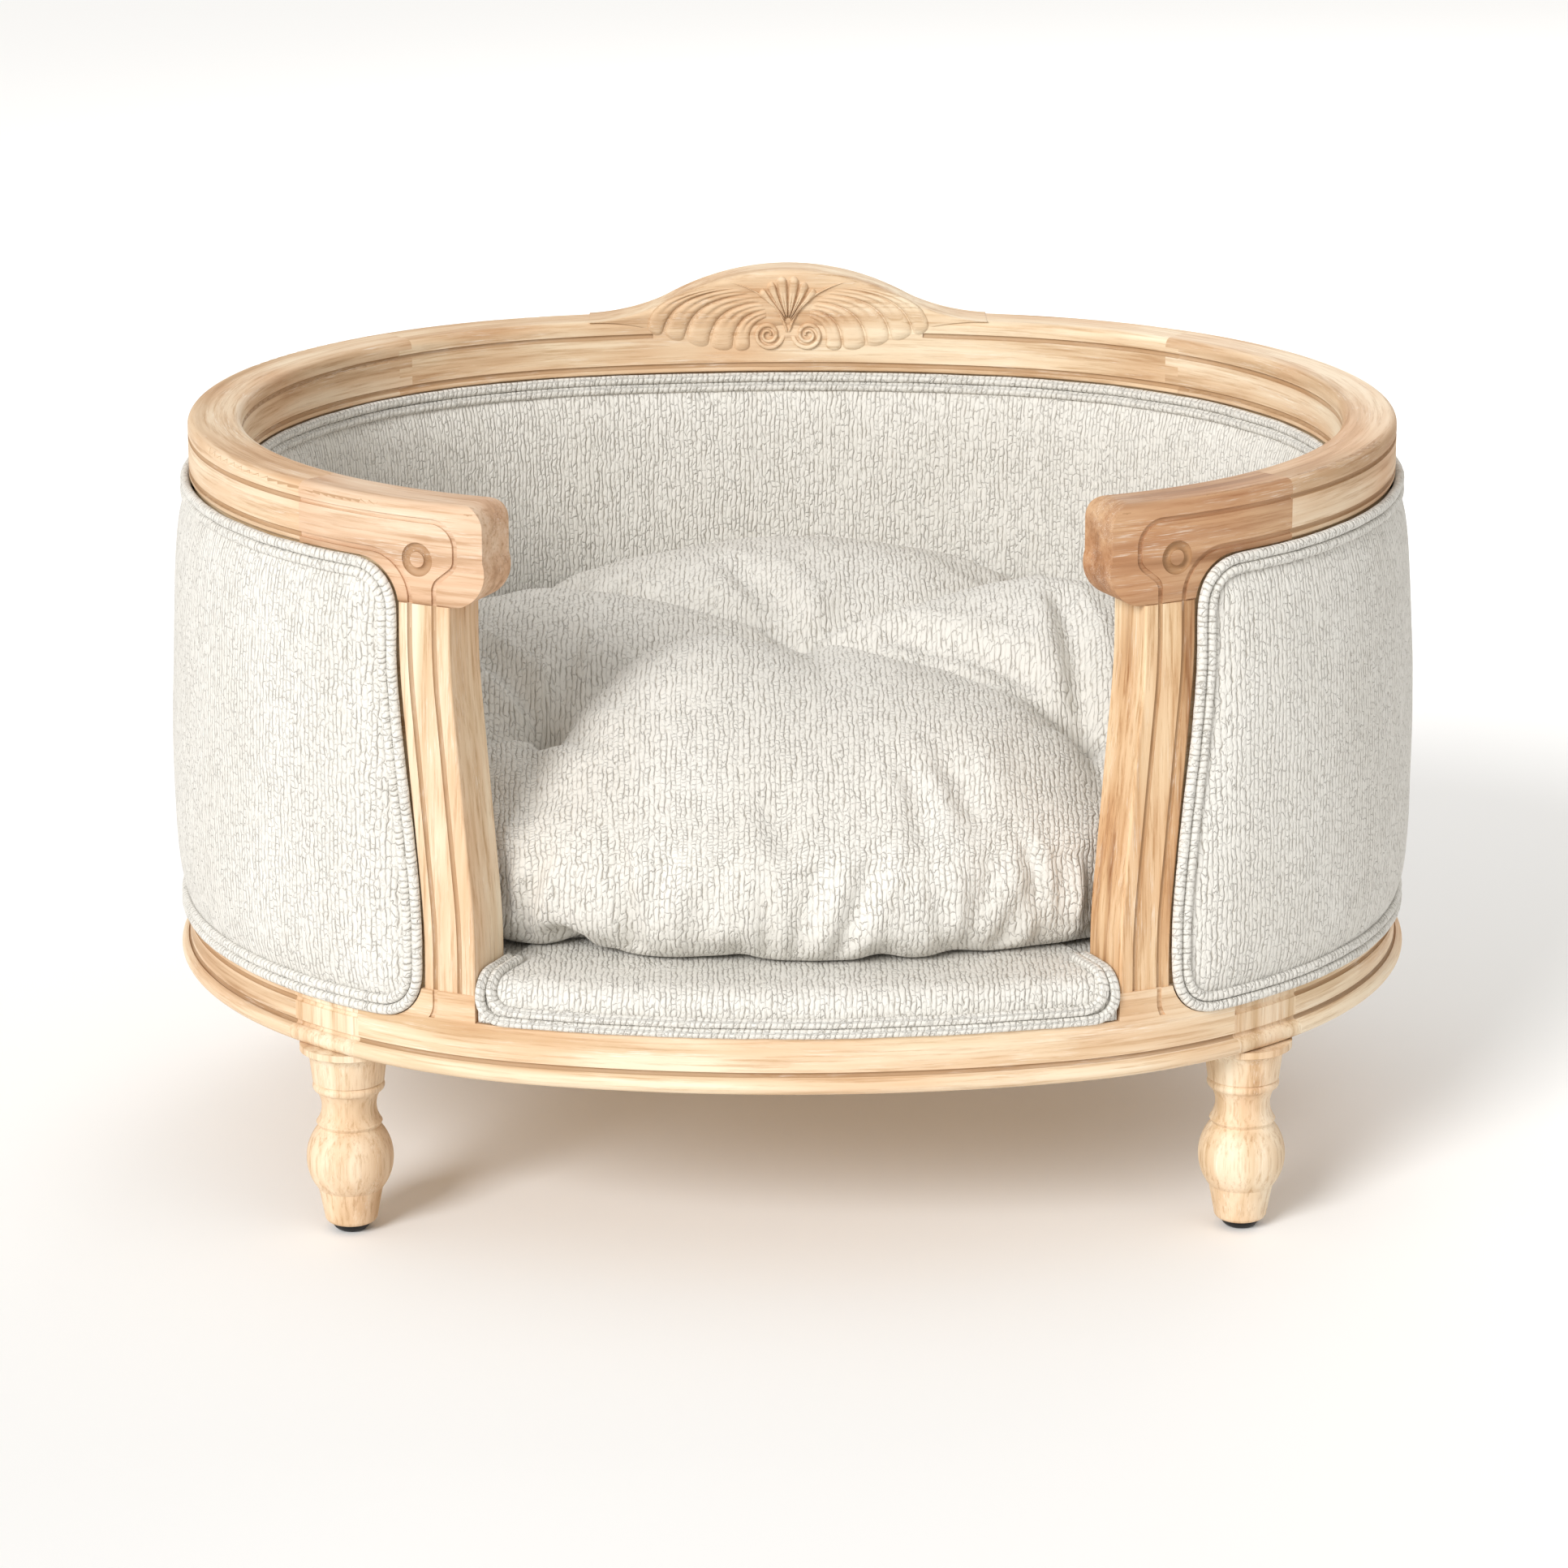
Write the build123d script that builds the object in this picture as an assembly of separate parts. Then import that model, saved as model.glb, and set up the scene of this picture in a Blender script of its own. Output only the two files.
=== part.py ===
from build123d import *
import os
from math import asin, atan2, cos, degrees, radians, sin

os.makedirs("parts", exist_ok=True)

# Pet bed with a show-wood frame. Millimetres, +Z up, front towards -Y, floor at Z = 0.
# Every band of the frame follows one oval of four arcs, measured on the outer face of the top rail.

# Plan of the oval
HALF_WIDTH = 350.0
HALF_DEPTH = 280.0
SIDE_RISE = 10.0
END_RADIUS = HALF_DEPTH - SIDE_RISE

# Heights, stacked up from the floor
LEG_HEIGHT = 112.0
SEAT_RAIL_HEIGHT = 48.0
POST_HEIGHT = 217.0
ARM_END_HEIGHT = 57.0
TOP_RAIL_HEIGHT = 34.0
CREST_RISE = 30.0

# Stations round the oval, as the angle of the outward normal on the right-hand side (front is -90)
POST_NORMAL = -64.5
ARM_JOINT = -44.4
FINGER_NORMAL = 48.5
FINGER_SWEEP = 2.3
LEG_NORMAL = 48.5
LEG_BLOCK_SWEEP = 10.3
SIDE_STUD_NORMAL = 8.0
BACK_STUD_NORMAL = 62.0
STUD_SWEEP = 7.0

# Wood sections
TOP_RAIL_THICKNESS = 31.0
TOP_EDGE_RADIUS = 5.0
LOWER_EDGE_RADIUS = 1.5
GROOVE_RADIUS = 1.5
UPPER_GROOVE_DROP = 10.0
LOWER_GROOVE_RISE = 4.5
FINGER_COUNT = 6
SEAT_RAIL_INNER = 30.0
FASCIA_OUT = 7.0
FOOT_BEAD_RADIUS = 5.0
PANEL_LAP = 19.0
FLARE = 6.0
CREST_HALF_WIDTH = 125.0
CREST_TOP_RADIUS = 160.0

# Front post, drawn in its own tangent plane
POST_WIDTH = 31.5
POST_DEPTH = 34.0
POST_SWAY = 15.2
POST_TOP_SHIFT = 7.2
POST_BEND_MARGIN = 34.0
POST_BEND_RADIUS = 400.0
POST_OUTER_GROOVE = 8.5
POST_INNER_GROOVE = 6.5

# Scroll end of the arm
SCROLL_REACH = 28.5
SCROLL_TOP_RADIUS = 12.0
SCROLL_LOW_RADIUS = 9.0
SCROLL_UNDERCUT = 8.0
ROSETTE_NORMAL = -62.2
ROSETTE_DROP = 32.0
ROSETTE_RADIUS = 6.9
ROSETTE_GROOVE = 2.6

# Turned legs and glides
LEG_OFFSET = -10.0
LEG_BULB_RADIUS = 24.6
GLIDE_HEIGHT = 5.0
GLIDE_RADIUS = 11.0
GLIDE_FLAT_RADIUS = 6.0
NAIL_RADIUS = 1.2
NAIL_LENGTH = 16.0

# Upholstered wall, as layers each side of the studs
STUD_INNER = 24.0
LINING = 3.0
CLOTH = 1.2
STRIP_PAD = 1.0
OUTER_PAD = 5.0
OUTER_BULGE = 4.0
INNER_PAD = 7.0
INNER_BULGE = 2.0
PANEL_CORNER = 26.0
WELT_RADIUS = 2.5
WELT_CLEARANCE = 0.1
WELT_MARGIN = 1.0
OUTER_WELT_SEAT = 0.5
INNER_WELT_SEAT = 1.5
DECK_WELT_SEAT = 0.3
POST_CLEARANCE = 0.3

# Deck
DECK_BOARD = 9.0
DECK_DROP = 2.0
DECK_CLEARANCE = 0.3
CLEAT_WIDTH = 14.0
CLEAT_HEIGHT = 15.0
DECK_PAD = 10.0
FLAP_REST = 3.0
FLAP_LAP = 16.0
SCREW_RADIUS = 2.0
SCREW_HEAD_RADIUS = 4.0
SCREW_LENGTH = 20.0

# Dowels
DOWEL_RADIUS = 4.0
DOWEL_HALF = 18.0
DOWEL_CLEARANCE = 0.1

# Loose cushion
CUSHION_SIDE_GAP = 7.0
CUSHION_FRONT_REACH = 11.0
CUSHION_HEIGHT = 150.0
CUSHION_GIRTH = 45.0
CUSHION_DRAW = 30.0
CUSHION_CROWN = 160.0
CUSHION_SHOULDER = 72.0
CUSHION_REST_GAP = 0.3
CUSHION_CLOTH = 1.6
FILL_CLEARANCE = 0.4
TUFT_X = 155.0
TUFT_Y = 90.0
TUFT_RADIUS = 42.0
TUFT_DEPTH = 34.0
CREASE_RADIUS = 30.0
CREASE_DEPTH = 16.0
TIE_RADIUS = 1.2
TIE_CLEARANCE = 0.4
KNOT_RADIUS = 3.2
ANCHOR_RADIUS = 8.0
ANCHOR_THICKNESS = 2.0

# Zip in the underside of the cushion
ZIP_LENGTH = 380.0
ZIP_POCKET_WIDTH = 30.0
ZIP_POCKET_DEPTH = 9.0
ZIP_TAPE_WIDTH = 26.0
ZIP_TAPE = 0.8
ZIP_CHAIN_WIDTH = 6.0
ZIP_SLOT = 1.4
ZIP_CHAIN = 2.2
SLIDER_LENGTH = 14.0
SLIDER_WIDTH = 10.0
SLIDER_WALL = 1.2
SLIDER_BRIDGE = 0.8
SLIDER_CLEARANCE = 0.4

# Derived heights
rail_bottom = LEG_HEIGHT
rail_top = rail_bottom + SEAT_RAIL_HEIGHT
panel_bottom = rail_top - PANEL_LAP
arm_bottom = rail_top + POST_HEIGHT
arm_top = arm_bottom + ARM_END_HEIGHT
panel_top = arm_top - TOP_RAIL_HEIGHT
board_top = rail_top - DECK_DROP
board_bottom = board_top - DECK_BOARD
deck_pad_top = board_top + DECK_PAD
deck_top = deck_pad_top + CLOTH
inner_bottom = deck_top + DECK_CLEARANCE
flap_bottom = rail_top - FLAP_LAP
welt_pitch = 2 * WELT_RADIUS + WELT_CLEARANCE
welt_border = 2 * welt_pitch + WELT_MARGIN

# Derived plan: an oval is its half width, half depth, end radius and shift along Y
frame_oval = (HALF_WIDTH, HALF_DEPTH, END_RADIUS, 0.0)
BACK = 90.0
FRONT = -90.0
LEFT = 180.0
TURN = 360.0


def oval_arcs(oval):
    """Distance of the end centres, radius and distance of the side arcs, and the joining normal."""
    half_width, half_depth, end_radius = oval[:3]
    end_centre = half_width - end_radius
    side_radius = (end_centre**2 + half_depth**2 - end_radius**2) / (2 * (half_depth - end_radius))
    side_centre = side_radius - half_depth
    return end_centre, side_radius, side_centre, 90 - degrees(atan2(end_centre, side_centre))


def arc_at(normal, oval=frame_oval):
    """Centre and radius of the oval's arc whose outward normal points at this angle."""
    end_centre, side_radius, side_centre, junction = oval_arcs(oval)
    end_radius, shift = oval[2:]
    turn = (normal + LEFT) % TURN - LEFT
    if abs(turn) <= junction:
        return end_centre, shift, end_radius
    if abs(turn) >= LEFT - junction:
        return -end_centre, shift, end_radius
    if turn > 0:
        return 0.0, shift - side_centre, side_radius
    return 0.0, shift + side_centre, side_radius


def oval_point(normal, offset, height):
    x, y, radius = arc_at(normal)
    reach = radius + offset
    return Vector(x + reach * cos(radians(normal)), y + reach * sin(radians(normal)), height)


def outward(normal):
    return Vector(cos(radians(normal)), sin(radians(normal)), 0)


def frontward(normal):
    """Tangent of the oval in the direction of falling normal angle."""
    return Vector(sin(radians(normal)), -cos(radians(normal)), 0)


def stops_between(start, end, oval=frame_oval):
    junction = oval_arcs(oval)[3]
    joins = [-LEFT + junction, -junction, junction, LEFT - junction, LEFT + junction]
    return [start] + [join for join in joins if start < join < end] + [end]


def fused(shapes):
    whole = shapes[0]
    for shape in shapes[1:]:
        whole = whole + shape
    return whole


def band_pieces(profile, start, end, oval=frame_oval):
    """Turn a profile, drawn as offset across and height up, along the oval between two normals."""
    pieces = []
    stops = stops_between(start, end, oval)
    for first, last in zip(stops, stops[1:]):
        x, y, radius = arc_at((first + last) / 2, oval)
        origin = Vector(x, y, 0) + outward(first) * radius
        plane = Plane(origin, x_dir=outward(first), z_dir=frontward(first))
        pieces.append(revolve(plane * profile, Axis((x, y, 0), (0, 0, 1)), last - first))
    return pieces


def band(profile, start, end):
    return fused(band_pieces(profile, start, end))


def polygon(*points):
    return make_face(Polyline(*points, close=True))


def block(low_offset, high_offset, low, high):
    return polygon((low_offset, low), (high_offset, low), (high_offset, high), (low_offset, high))


def flipped(shape):
    return mirror(shape, about=Plane.YZ)


def both_sides(shape):
    return shape + flipped(shape)


def rod(start, direction, length, radius):
    return extrude(Plane(start, z_dir=direction) * Circle(radius), length)


def oval_face(oval, offset):
    """Closed face of an oval, grown by the offset."""
    edges = []
    junction = oval_arcs(oval)[3]
    stops = stops_between(-junction, TURN - junction, oval)
    for first, last in zip(stops, stops[1:]):
        x, y, radius = arc_at((first + last) / 2, oval)
        reach = radius + offset
        points = [Vector(x, y, 0) + outward(n) * reach for n in (first, (first + last) / 2, last)]
        edges.append(ThreePointArc(*points))
    return make_face(edges)


# The tangent plane of the right front post: across is towards the middle, up is height
post_origin = oval_point(POST_NORMAL, 0, 0)
post_radius = arc_at(POST_NORMAL)[2]
post_plane = Plane(post_origin, x_dir=frontward(POST_NORMAL), z_dir=outward(POST_NORMAL) * -1)
post_top_across = -POST_TOP_SHIFT
post_low_across = post_top_across + POST_SWAY
upper_bend = arm_bottom - POST_BEND_MARGIN
lower_bend = rail_top + POST_BEND_MARGIN


def through(face, depth=110):
    return extrude(post_plane * face, depth, both=True)


def post_line(shift, high, low):
    """The swaying line of the post, from high to low, moved across by the shift."""
    return FilletPolyline(
        (post_top_across + shift, high),
        (post_top_across + shift, upper_bend),
        (post_low_across + shift, lower_bend),
        (post_low_across + shift, low),
        radius=POST_BEND_RADIUS,
    )


def post_point(across, offset, height):
    lean = degrees(asin(across / (post_radius + offset)))
    return oval_point(POST_NORMAL - lean, offset, height)


post_edge = -POST_WIDTH / 2 - POST_CLEARANCE


def panel_region(inset, low, round_low):
    """Front view of the fabric panel beside the right post, as far as its left-hand limit."""
    far = -220.0
    high = panel_top - inset
    side = post_line(post_edge - inset, high, low)
    outline = [
        side,
        Line(side @ 1, (far, low)),
        Line((far, low), (far, high)),
        Line((far, high), side @ 0),
    ]
    face = make_face(outline)
    corner = PANEL_CORNER - inset
    face = fillet(face.vertices().sort_by_distance(Vertex(*(side @ 0)))[0], corner)
    if round_low:
        face = fillet(face.vertices().sort_by_distance(Vertex(*(side @ 1)))[0], corner)
    return face


PANEL_SPLIT = -30.0
PANEL_LIMIT = -74.0


def panel(profile, stub, inset, low, round_low):
    """A layer of the wall: a band round the back, shaped at both fronts to the post and corners.

    The stub lengthens the profile for the shaped fronts, where the region sets the ends.
    """
    main = band(profile, PANEL_SPLIT, LEFT - PANEL_SPLIT)
    front = band(profile + stub, PANEL_LIMIT, PANEL_SPLIT)
    front = front & through(panel_region(inset, low, round_low))
    return main + front + flipped(front)


def wall_base(height):
    """Offset of the outer lining's face, which leans out towards the floor."""
    return -LINING + FLARE * (panel_top - height) / (panel_top - panel_bottom)


def outer_layer(inside, outside, inset, bulge, low):
    """A layer of the outer wall between two distances from the lining's face."""
    over = 2.0
    high = panel_top - inset
    middle = (low + high) / 2
    low_in = wall_base(low) + inside
    low_out = wall_base(low) + outside
    high_in = wall_base(high) + inside
    high_out = wall_base(high) + outside
    if bulge > 0:
        skin = ThreePointArc((high_out, high), (wall_base(middle) + outside + bulge, middle), (low_out, low))
    else:
        skin = Line((high_out, high), (low_out, low))
    face = make_face(
        [
            Line((low_in, low), (high_in, high)),
            Line((high_in, high), (high_out, high)),
            skin,
            Line((low_out, low), (low_in, low)),
        ]
    )
    stub = block(low_in, low_out, low - over, low) + block(high_in, high_out, high, high + over)
    return panel(face, stub, inset, low, low < rail_top)


def inner_layer(inside, outside, inset, bulge, low):
    """A layer of the inner wall between two distances from the lining's face."""
    over = 2.0
    high = panel_top - inset
    near = -STUD_INNER - LINING - inside
    far = -STUD_INNER - LINING - outside
    if bulge > 0:
        skin = ThreePointArc((far, high), (far - bulge, (low + high) / 2), (far, low))
    else:
        skin = Line((far, high), (far, low))
    face = make_face(
        [
            Line((near, low), (near, high)),
            Line((near, high), (far, high)),
            skin,
            Line((far, low), (near, low)),
        ]
    )
    stub = block(far, near, low - over, low) + block(far, near, high, high + over)
    return panel(face, stub, inset, low, False)


def top_rail_profile(low):
    face = block(-TOP_RAIL_THICKNESS, 0, low, arm_top)
    rows = face.vertices().group_by(Axis.Y)
    face = fillet(rows[-1], TOP_EDGE_RADIUS)
    rows = face.vertices().group_by(Axis.Y)
    return fillet(rows[0], LOWER_EDGE_RADIUS)


upper_groove = arm_top - UPPER_GROOVE_DROP
lower_groove = panel_top + LOWER_GROOVE_RISE


def grooved_rail_profile():
    face = top_rail_profile(panel_top)
    for offset in (0, -TOP_RAIL_THICKNESS):
        for height in (upper_groove, lower_groove):
            face -= Pos(offset, height) * Circle(GROOVE_RADIUS)
    return face


rail_profile = grooved_rail_profile()
finger_end = FINGER_NORMAL + FINGER_SWEEP


def fingers(parity):
    """Every other finger of the joint between the crest rail and the right-hand side rail."""
    step = TOP_RAIL_HEIGHT / FINGER_COUNT
    pieces = []
    for index in range(parity, FINGER_COUNT, 2):
        low = panel_top + index * step
        slab = block(-2 * TOP_RAIL_THICKNESS, TOP_RAIL_THICKNESS, low, low + step)
        pieces.append(band(rail_profile & slab, FINGER_NORMAL, finger_end))
    return pieces


def tangent_dowels(normal, offset, heights, radius, half):
    axis = frontward(normal)
    return [rod(oval_point(normal, offset, z) - axis * half, axis, 2 * half, radius) for z in heights]


def upright_dowel(point, half, radius):
    return rod(point - Vector(0, 0, half), Vector(0, 0, 1), 2 * half, radius)


def without(shape, cutters):
    for cutter in cutters:
        shape = shape - cutter
    return shape


def arm_dowels(grow):
    heights = (panel_top + TOP_RAIL_HEIGHT * 0.3, panel_top + TOP_RAIL_HEIGHT * 0.7)
    return tangent_dowels(ARM_JOINT, -TOP_RAIL_THICKNESS / 2, heights, DOWEL_RADIUS + grow, DOWEL_HALF + grow)


def post_dowels(grow):
    half = DOWEL_HALF + grow
    radius = DOWEL_RADIUS + grow
    top = post_point(post_top_across, -POST_DEPTH / 2, arm_bottom)
    low = post_point(post_low_across, FLARE - POST_DEPTH / 2, rail_top)
    return [upright_dowel(top, half, radius), upright_dowel(low, half, radius)]


def crest_dowel(grow):
    point = oval_point(BACK - 6, -TOP_RAIL_THICKNESS / 2, arm_top)
    return upright_dowel(point, DOWEL_HALF * 0.7 + grow, DOWEL_RADIUS + grow)


def leg_edges():
    return LEG_NORMAL - LEG_BLOCK_SWEEP / 2, LEG_NORMAL + LEG_BLOCK_SWEEP / 2


def rail_dowels(normal, grow):
    heights = (rail_bottom + SEAT_RAIL_HEIGHT * 0.3, rail_bottom + SEAT_RAIL_HEIGHT * 0.7)
    middle = (FASCIA_OUT - SEAT_RAIL_INNER) / 2
    return tangent_dowels(normal, middle, heights, DOWEL_RADIUS + grow, DOWEL_HALF + grow)


def crest_rail():
    fingers_right = fused([band(rail_profile, finger_end, LEFT - finger_end)] + fingers(0))
    body = fused([fingers_right] + [flipped(piece) for piece in fingers(0)])
    holes = crest_dowel(DOWEL_CLEARANCE)
    return body - holes - flipped(holes)


def crest_cap():
    """Bell-shaped block glued on the middle of the crest rail."""
    reach = CREST_TOP_RADIUS / ((CREST_RISE**2 + CREST_HALF_WIDTH**2) / (2 * CREST_RISE))
    low_radius = CREST_TOP_RADIUS / reach - CREST_TOP_RADIUS
    top = arm_top + CREST_RISE
    turn_x = CREST_HALF_WIDTH * reach
    turn_z = top - CREST_RISE * reach
    angle = asin(turn_x / CREST_TOP_RADIUS)
    swing = angle / 2
    low_x = CREST_HALF_WIDTH - low_radius * sin(swing)
    low_z = arm_top + low_radius * (1 - cos(swing))
    outline = [
        ThreePointArc((-turn_x, turn_z), (0, top), (turn_x, turn_z)),
        ThreePointArc((turn_x, turn_z), (low_x, low_z), (CREST_HALF_WIDTH, arm_top)),
        Line((CREST_HALF_WIDTH, arm_top), (-CREST_HALF_WIDTH, arm_top)),
        ThreePointArc((-CREST_HALF_WIDTH, arm_top), (-low_x, low_z), (-turn_x, turn_z)),
    ]
    face = Plane.XZ.offset(-HALF_DEPTH - TOP_RAIL_THICKNESS) * make_face(outline)
    bell = extrude(face, 3 * TOP_RAIL_THICKNESS)
    stock = band(block(-TOP_RAIL_THICKNESS, 0, arm_top, top + 1), BACK - 30, BACK + 30)
    body = stock & bell
    holes = crest_dowel(DOWEL_CLEARANCE)
    return body - holes - flipped(holes)


def side_top_rail():
    body = fused([band(rail_profile, ARM_JOINT, FINGER_NORMAL)] + fingers(1))
    return without(body, arm_dowels(DOWEL_CLEARANCE))


def groove(path, offset):
    """A shallow channel along a front-view path, cut a groove radius deep into the face."""
    strip = through(trace(path, 2 * GROOVE_RADIUS))
    skin = block(offset - GROOVE_RADIUS, offset + 4 * GROOVE_RADIUS, flap_bottom, arm_top)
    return strip & band(skin, PANEL_LIMIT, ARM_JOINT)


def arm():
    """Front end of the top rail, with its scroll, rosette and running grooves."""
    far = -160.0
    high = arm_top
    low = arm_bottom
    mid = (high + low) / 2
    outline = [
        Line((far, high), (SCROLL_REACH - SCROLL_TOP_RADIUS, high)),
        ThreePointArc(
            (SCROLL_REACH - SCROLL_TOP_RADIUS, high),
            (SCROLL_REACH - SCROLL_TOP_RADIUS * 0.293, high - SCROLL_TOP_RADIUS * 0.293),
            (SCROLL_REACH, high - SCROLL_TOP_RADIUS),
        ),
        Line((SCROLL_REACH, high - SCROLL_TOP_RADIUS), (SCROLL_REACH, mid - 2)),
        ThreePointArc(
            (SCROLL_REACH, mid - 2),
            (SCROLL_REACH - SCROLL_UNDERCUT * 0.3, low + SCROLL_LOW_RADIUS),
            (SCROLL_REACH - SCROLL_UNDERCUT - SCROLL_LOW_RADIUS, low),
        ),
        Line((SCROLL_REACH - SCROLL_UNDERCUT - SCROLL_LOW_RADIUS, low), (far, low)),
        Line((far, low), (far, high)),
    ]
    body = band(top_rail_profile(low), PANEL_LIMIT, ARM_JOINT) & through(make_face(outline))
    body = body - through(panel_region(0, panel_bottom, False))
    inner_line = post_top_across + POST_INNER_GROOVE
    outer_line = post_top_across - POST_OUTER_GROOVE
    curl = FilletPolyline(
        (far, upper_groove),
        (inner_line + 13, upper_groove),
        (inner_line + 13, mid - 6),
        (inner_line, low + 12),
        (inner_line, low - 10),
        radius=[14, 8, 8],
    )
    sweep_line = FilletPolyline(
        (far, lower_groove),
        (outer_line, lower_groove),
        (outer_line, low - 10),
        radius=PANEL_CORNER,
    )
    body = body - groove(curl, 0) - groove(sweep_line, 0)
    centre = oval_point(ROSETTE_NORMAL, 0, arm_top - ROSETTE_DROP)
    body = body - Plane(centre, z_dir=outward(ROSETTE_NORMAL)) * Torus(ROSETTE_RADIUS, ROSETTE_GROOVE)
    return without(body, arm_dowels(DOWEL_CLEARANCE) + post_dowels(DOWEL_CLEARANCE))


def front_post():
    """Swaying post with two running grooves, leaning out with the wall."""
    rise = (Vector(0, 0, POST_HEIGHT) - outward(POST_NORMAL) * FLARE).normalized()
    origin = oval_point(POST_NORMAL, 0, arm_bottom)
    leaning = Plane(origin, x_dir=frontward(POST_NORMAL), z_dir=frontward(POST_NORMAL).cross(rise))
    path = leaning * (Pos(0, -arm_bottom) * post_line(0, arm_bottom + 10, rail_top - 10))
    half = POST_WIDTH / 2
    section = polygon((-half, 0), (half, 0), (half, POST_DEPTH), (-half, POST_DEPTH))
    section = fillet(section.vertices().group_by(Axis.Y)[0], LOWER_EDGE_RADIUS)
    section -= Pos(-POST_OUTER_GROOVE, 0) * Circle(GROOVE_RADIUS)
    section -= Pos(POST_INNER_GROOVE, 0) * Circle(GROOVE_RADIUS)
    start = Plane(path @ 0, x_dir=leaning.x_dir, z_dir=path % 0)
    body = sweep(start * section, path)
    trim = Pos(0, 0, (rail_top + arm_bottom) / 2) * Box(4 * HALF_WIDTH, 4 * HALF_DEPTH, POST_HEIGHT)
    return without(body & trim, post_dowels(DOWEL_CLEARANCE))


def seat_profile(stepped):
    """Section of the seat rail: foot bead, fascia and, under the fabric, a step."""
    bead_top = rail_bottom + 2 * FOOT_BEAD_RADIUS
    low_step = wall_base(panel_bottom)
    high_step = wall_base(rail_top)
    if stepped:
        points = [
            (-SEAT_RAIL_INNER, rail_bottom),
            (FASCIA_OUT, rail_bottom),
            (FASCIA_OUT, panel_bottom),
            (low_step, panel_bottom),
            (high_step, rail_top),
            (-SEAT_RAIL_INNER, rail_top),
        ]
    else:
        points = [
            (-SEAT_RAIL_INNER, rail_bottom),
            (FASCIA_OUT, rail_bottom),
            (FASCIA_OUT, rail_top),
            (-SEAT_RAIL_INNER, rail_top),
        ]
    face = polygon(*points)
    face += Pos(FASCIA_OUT, rail_bottom + FOOT_BEAD_RADIUS) * Circle(FOOT_BEAD_RADIUS)
    face -= Pos(FASCIA_OUT, bead_top + GROOVE_RADIUS / 2) * Circle(GROOVE_RADIUS)
    return face


fascia_groove = panel_bottom - LOWER_GROOVE_RISE


def grooved_seat_profile():
    return seat_profile(True) - Pos(FASCIA_OUT, fascia_groove) * Circle(GROOVE_RADIUS)


def flap_span():
    """Normals of the deck flap's two ends, close under the inner edges of the posts."""
    lean = degrees(asin((post_low_across + POST_WIDTH / 2) / (post_radius + FASCIA_OUT)))
    edge = POST_NORMAL - lean
    return -LEFT - edge, edge


def front_rail():
    first, last = leg_edges()
    body = band(seat_profile(False), -LEFT + last, -last)
    step = polygon(
        (wall_base(panel_bottom), panel_bottom),
        (2 * FASCIA_OUT, panel_bottom),
        (2 * FASCIA_OUT, rail_top + 1),
        (wall_base(rail_top + 1), rail_top + 1),
    )
    notch = band(step, PANEL_LIMIT, -first) & through(panel_region(0, panel_bottom, True))
    body = body - notch - flipped(notch)
    left_end, right_end = flap_span()
    body = body - band(block(FLAP_REST, 2 * FASCIA_OUT, flap_bottom, rail_top + 1), left_end, right_end)
    edge = post_low_across - POST_OUTER_GROOVE
    line = FilletPolyline((-160, fascia_groove), (edge, fascia_groove), (edge, rail_top + 10), radius=16)
    cut = groove(line, FASCIA_OUT)
    body = body - cut - flipped(cut)
    holes = rail_dowels(-last, DOWEL_CLEARANCE) + post_dowels(DOWEL_CLEARANCE)
    return without(body, holes + [flipped(hole) for hole in holes])


def side_rail():
    first = leg_edges()[0]
    body = band(grooved_seat_profile(), -first, first)
    return without(body, rail_dowels(-first, DOWEL_CLEARANCE) + rail_dowels(first, DOWEL_CLEARANCE))


def back_rail():
    last = leg_edges()[1]
    body = band(grooved_seat_profile(), last, LEFT - last)
    holes = rail_dowels(last, DOWEL_CLEARANCE)
    return without(body, holes + [flipped(hole) for hole in holes])


def leg_section():
    """Half outline of the turned leg, scaled from its bulb radius and height."""
    r = LEG_BULB_RADIUS
    base = GLIDE_HEIGHT
    h = LEG_HEIGHT - base
    top = LEG_HEIGHT + FOOT_BEAD_RADIUS
    sole = base + 0.035 * h
    foot = base + 0.19 * h
    waist = base + 0.53 * h
    collar = base + 0.56 * h
    neck = base + 0.66 * h
    ring = base + 0.735 * h
    drum = base + 0.79 * h
    cap = base + 0.9 * h
    lip = base + 0.965 * h
    return make_face(
        [
            Line((0, base), (0.45 * r, base)),
            ThreePointArc((0.45 * r, base), (0.57 * r, base + 0.011 * h), (0.61 * r, sole)),
            Line((0.61 * r, sole), (0.74 * r, foot)),
            ThreePointArc((0.74 * r, foot), (r, base + 0.355 * h), (0.74 * r, waist)),
            Line((0.74 * r, waist), (0.71 * r, waist + 0.01 * h)),
            Line((0.71 * r, waist + 0.01 * h), (0.76 * r, collar)),
            ThreePointArc((0.76 * r, collar), (0.63 * r, neck), (0.74 * r, ring)),
            ThreePointArc((0.74 * r, ring), (0.83 * r, ring + 0.025 * h), (0.78 * r, drum - 0.005 * h)),
            Line((0.78 * r, drum - 0.005 * h), (0.82 * r, drum)),
            Line((0.82 * r, drum), (0.88 * r, cap)),
            ThreePointArc((0.88 * r, cap), (0.96 * r, base + 0.945 * h), (1.1 * r, lip)),
            Line((1.1 * r, lip), (1.1 * r, top)),
            Line((1.1 * r, top), (0, top)),
            Line((0, top), (0, base)),
        ]
    )


leg_foot = oval_point(LEG_NORMAL, LEG_OFFSET, 0)


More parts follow.
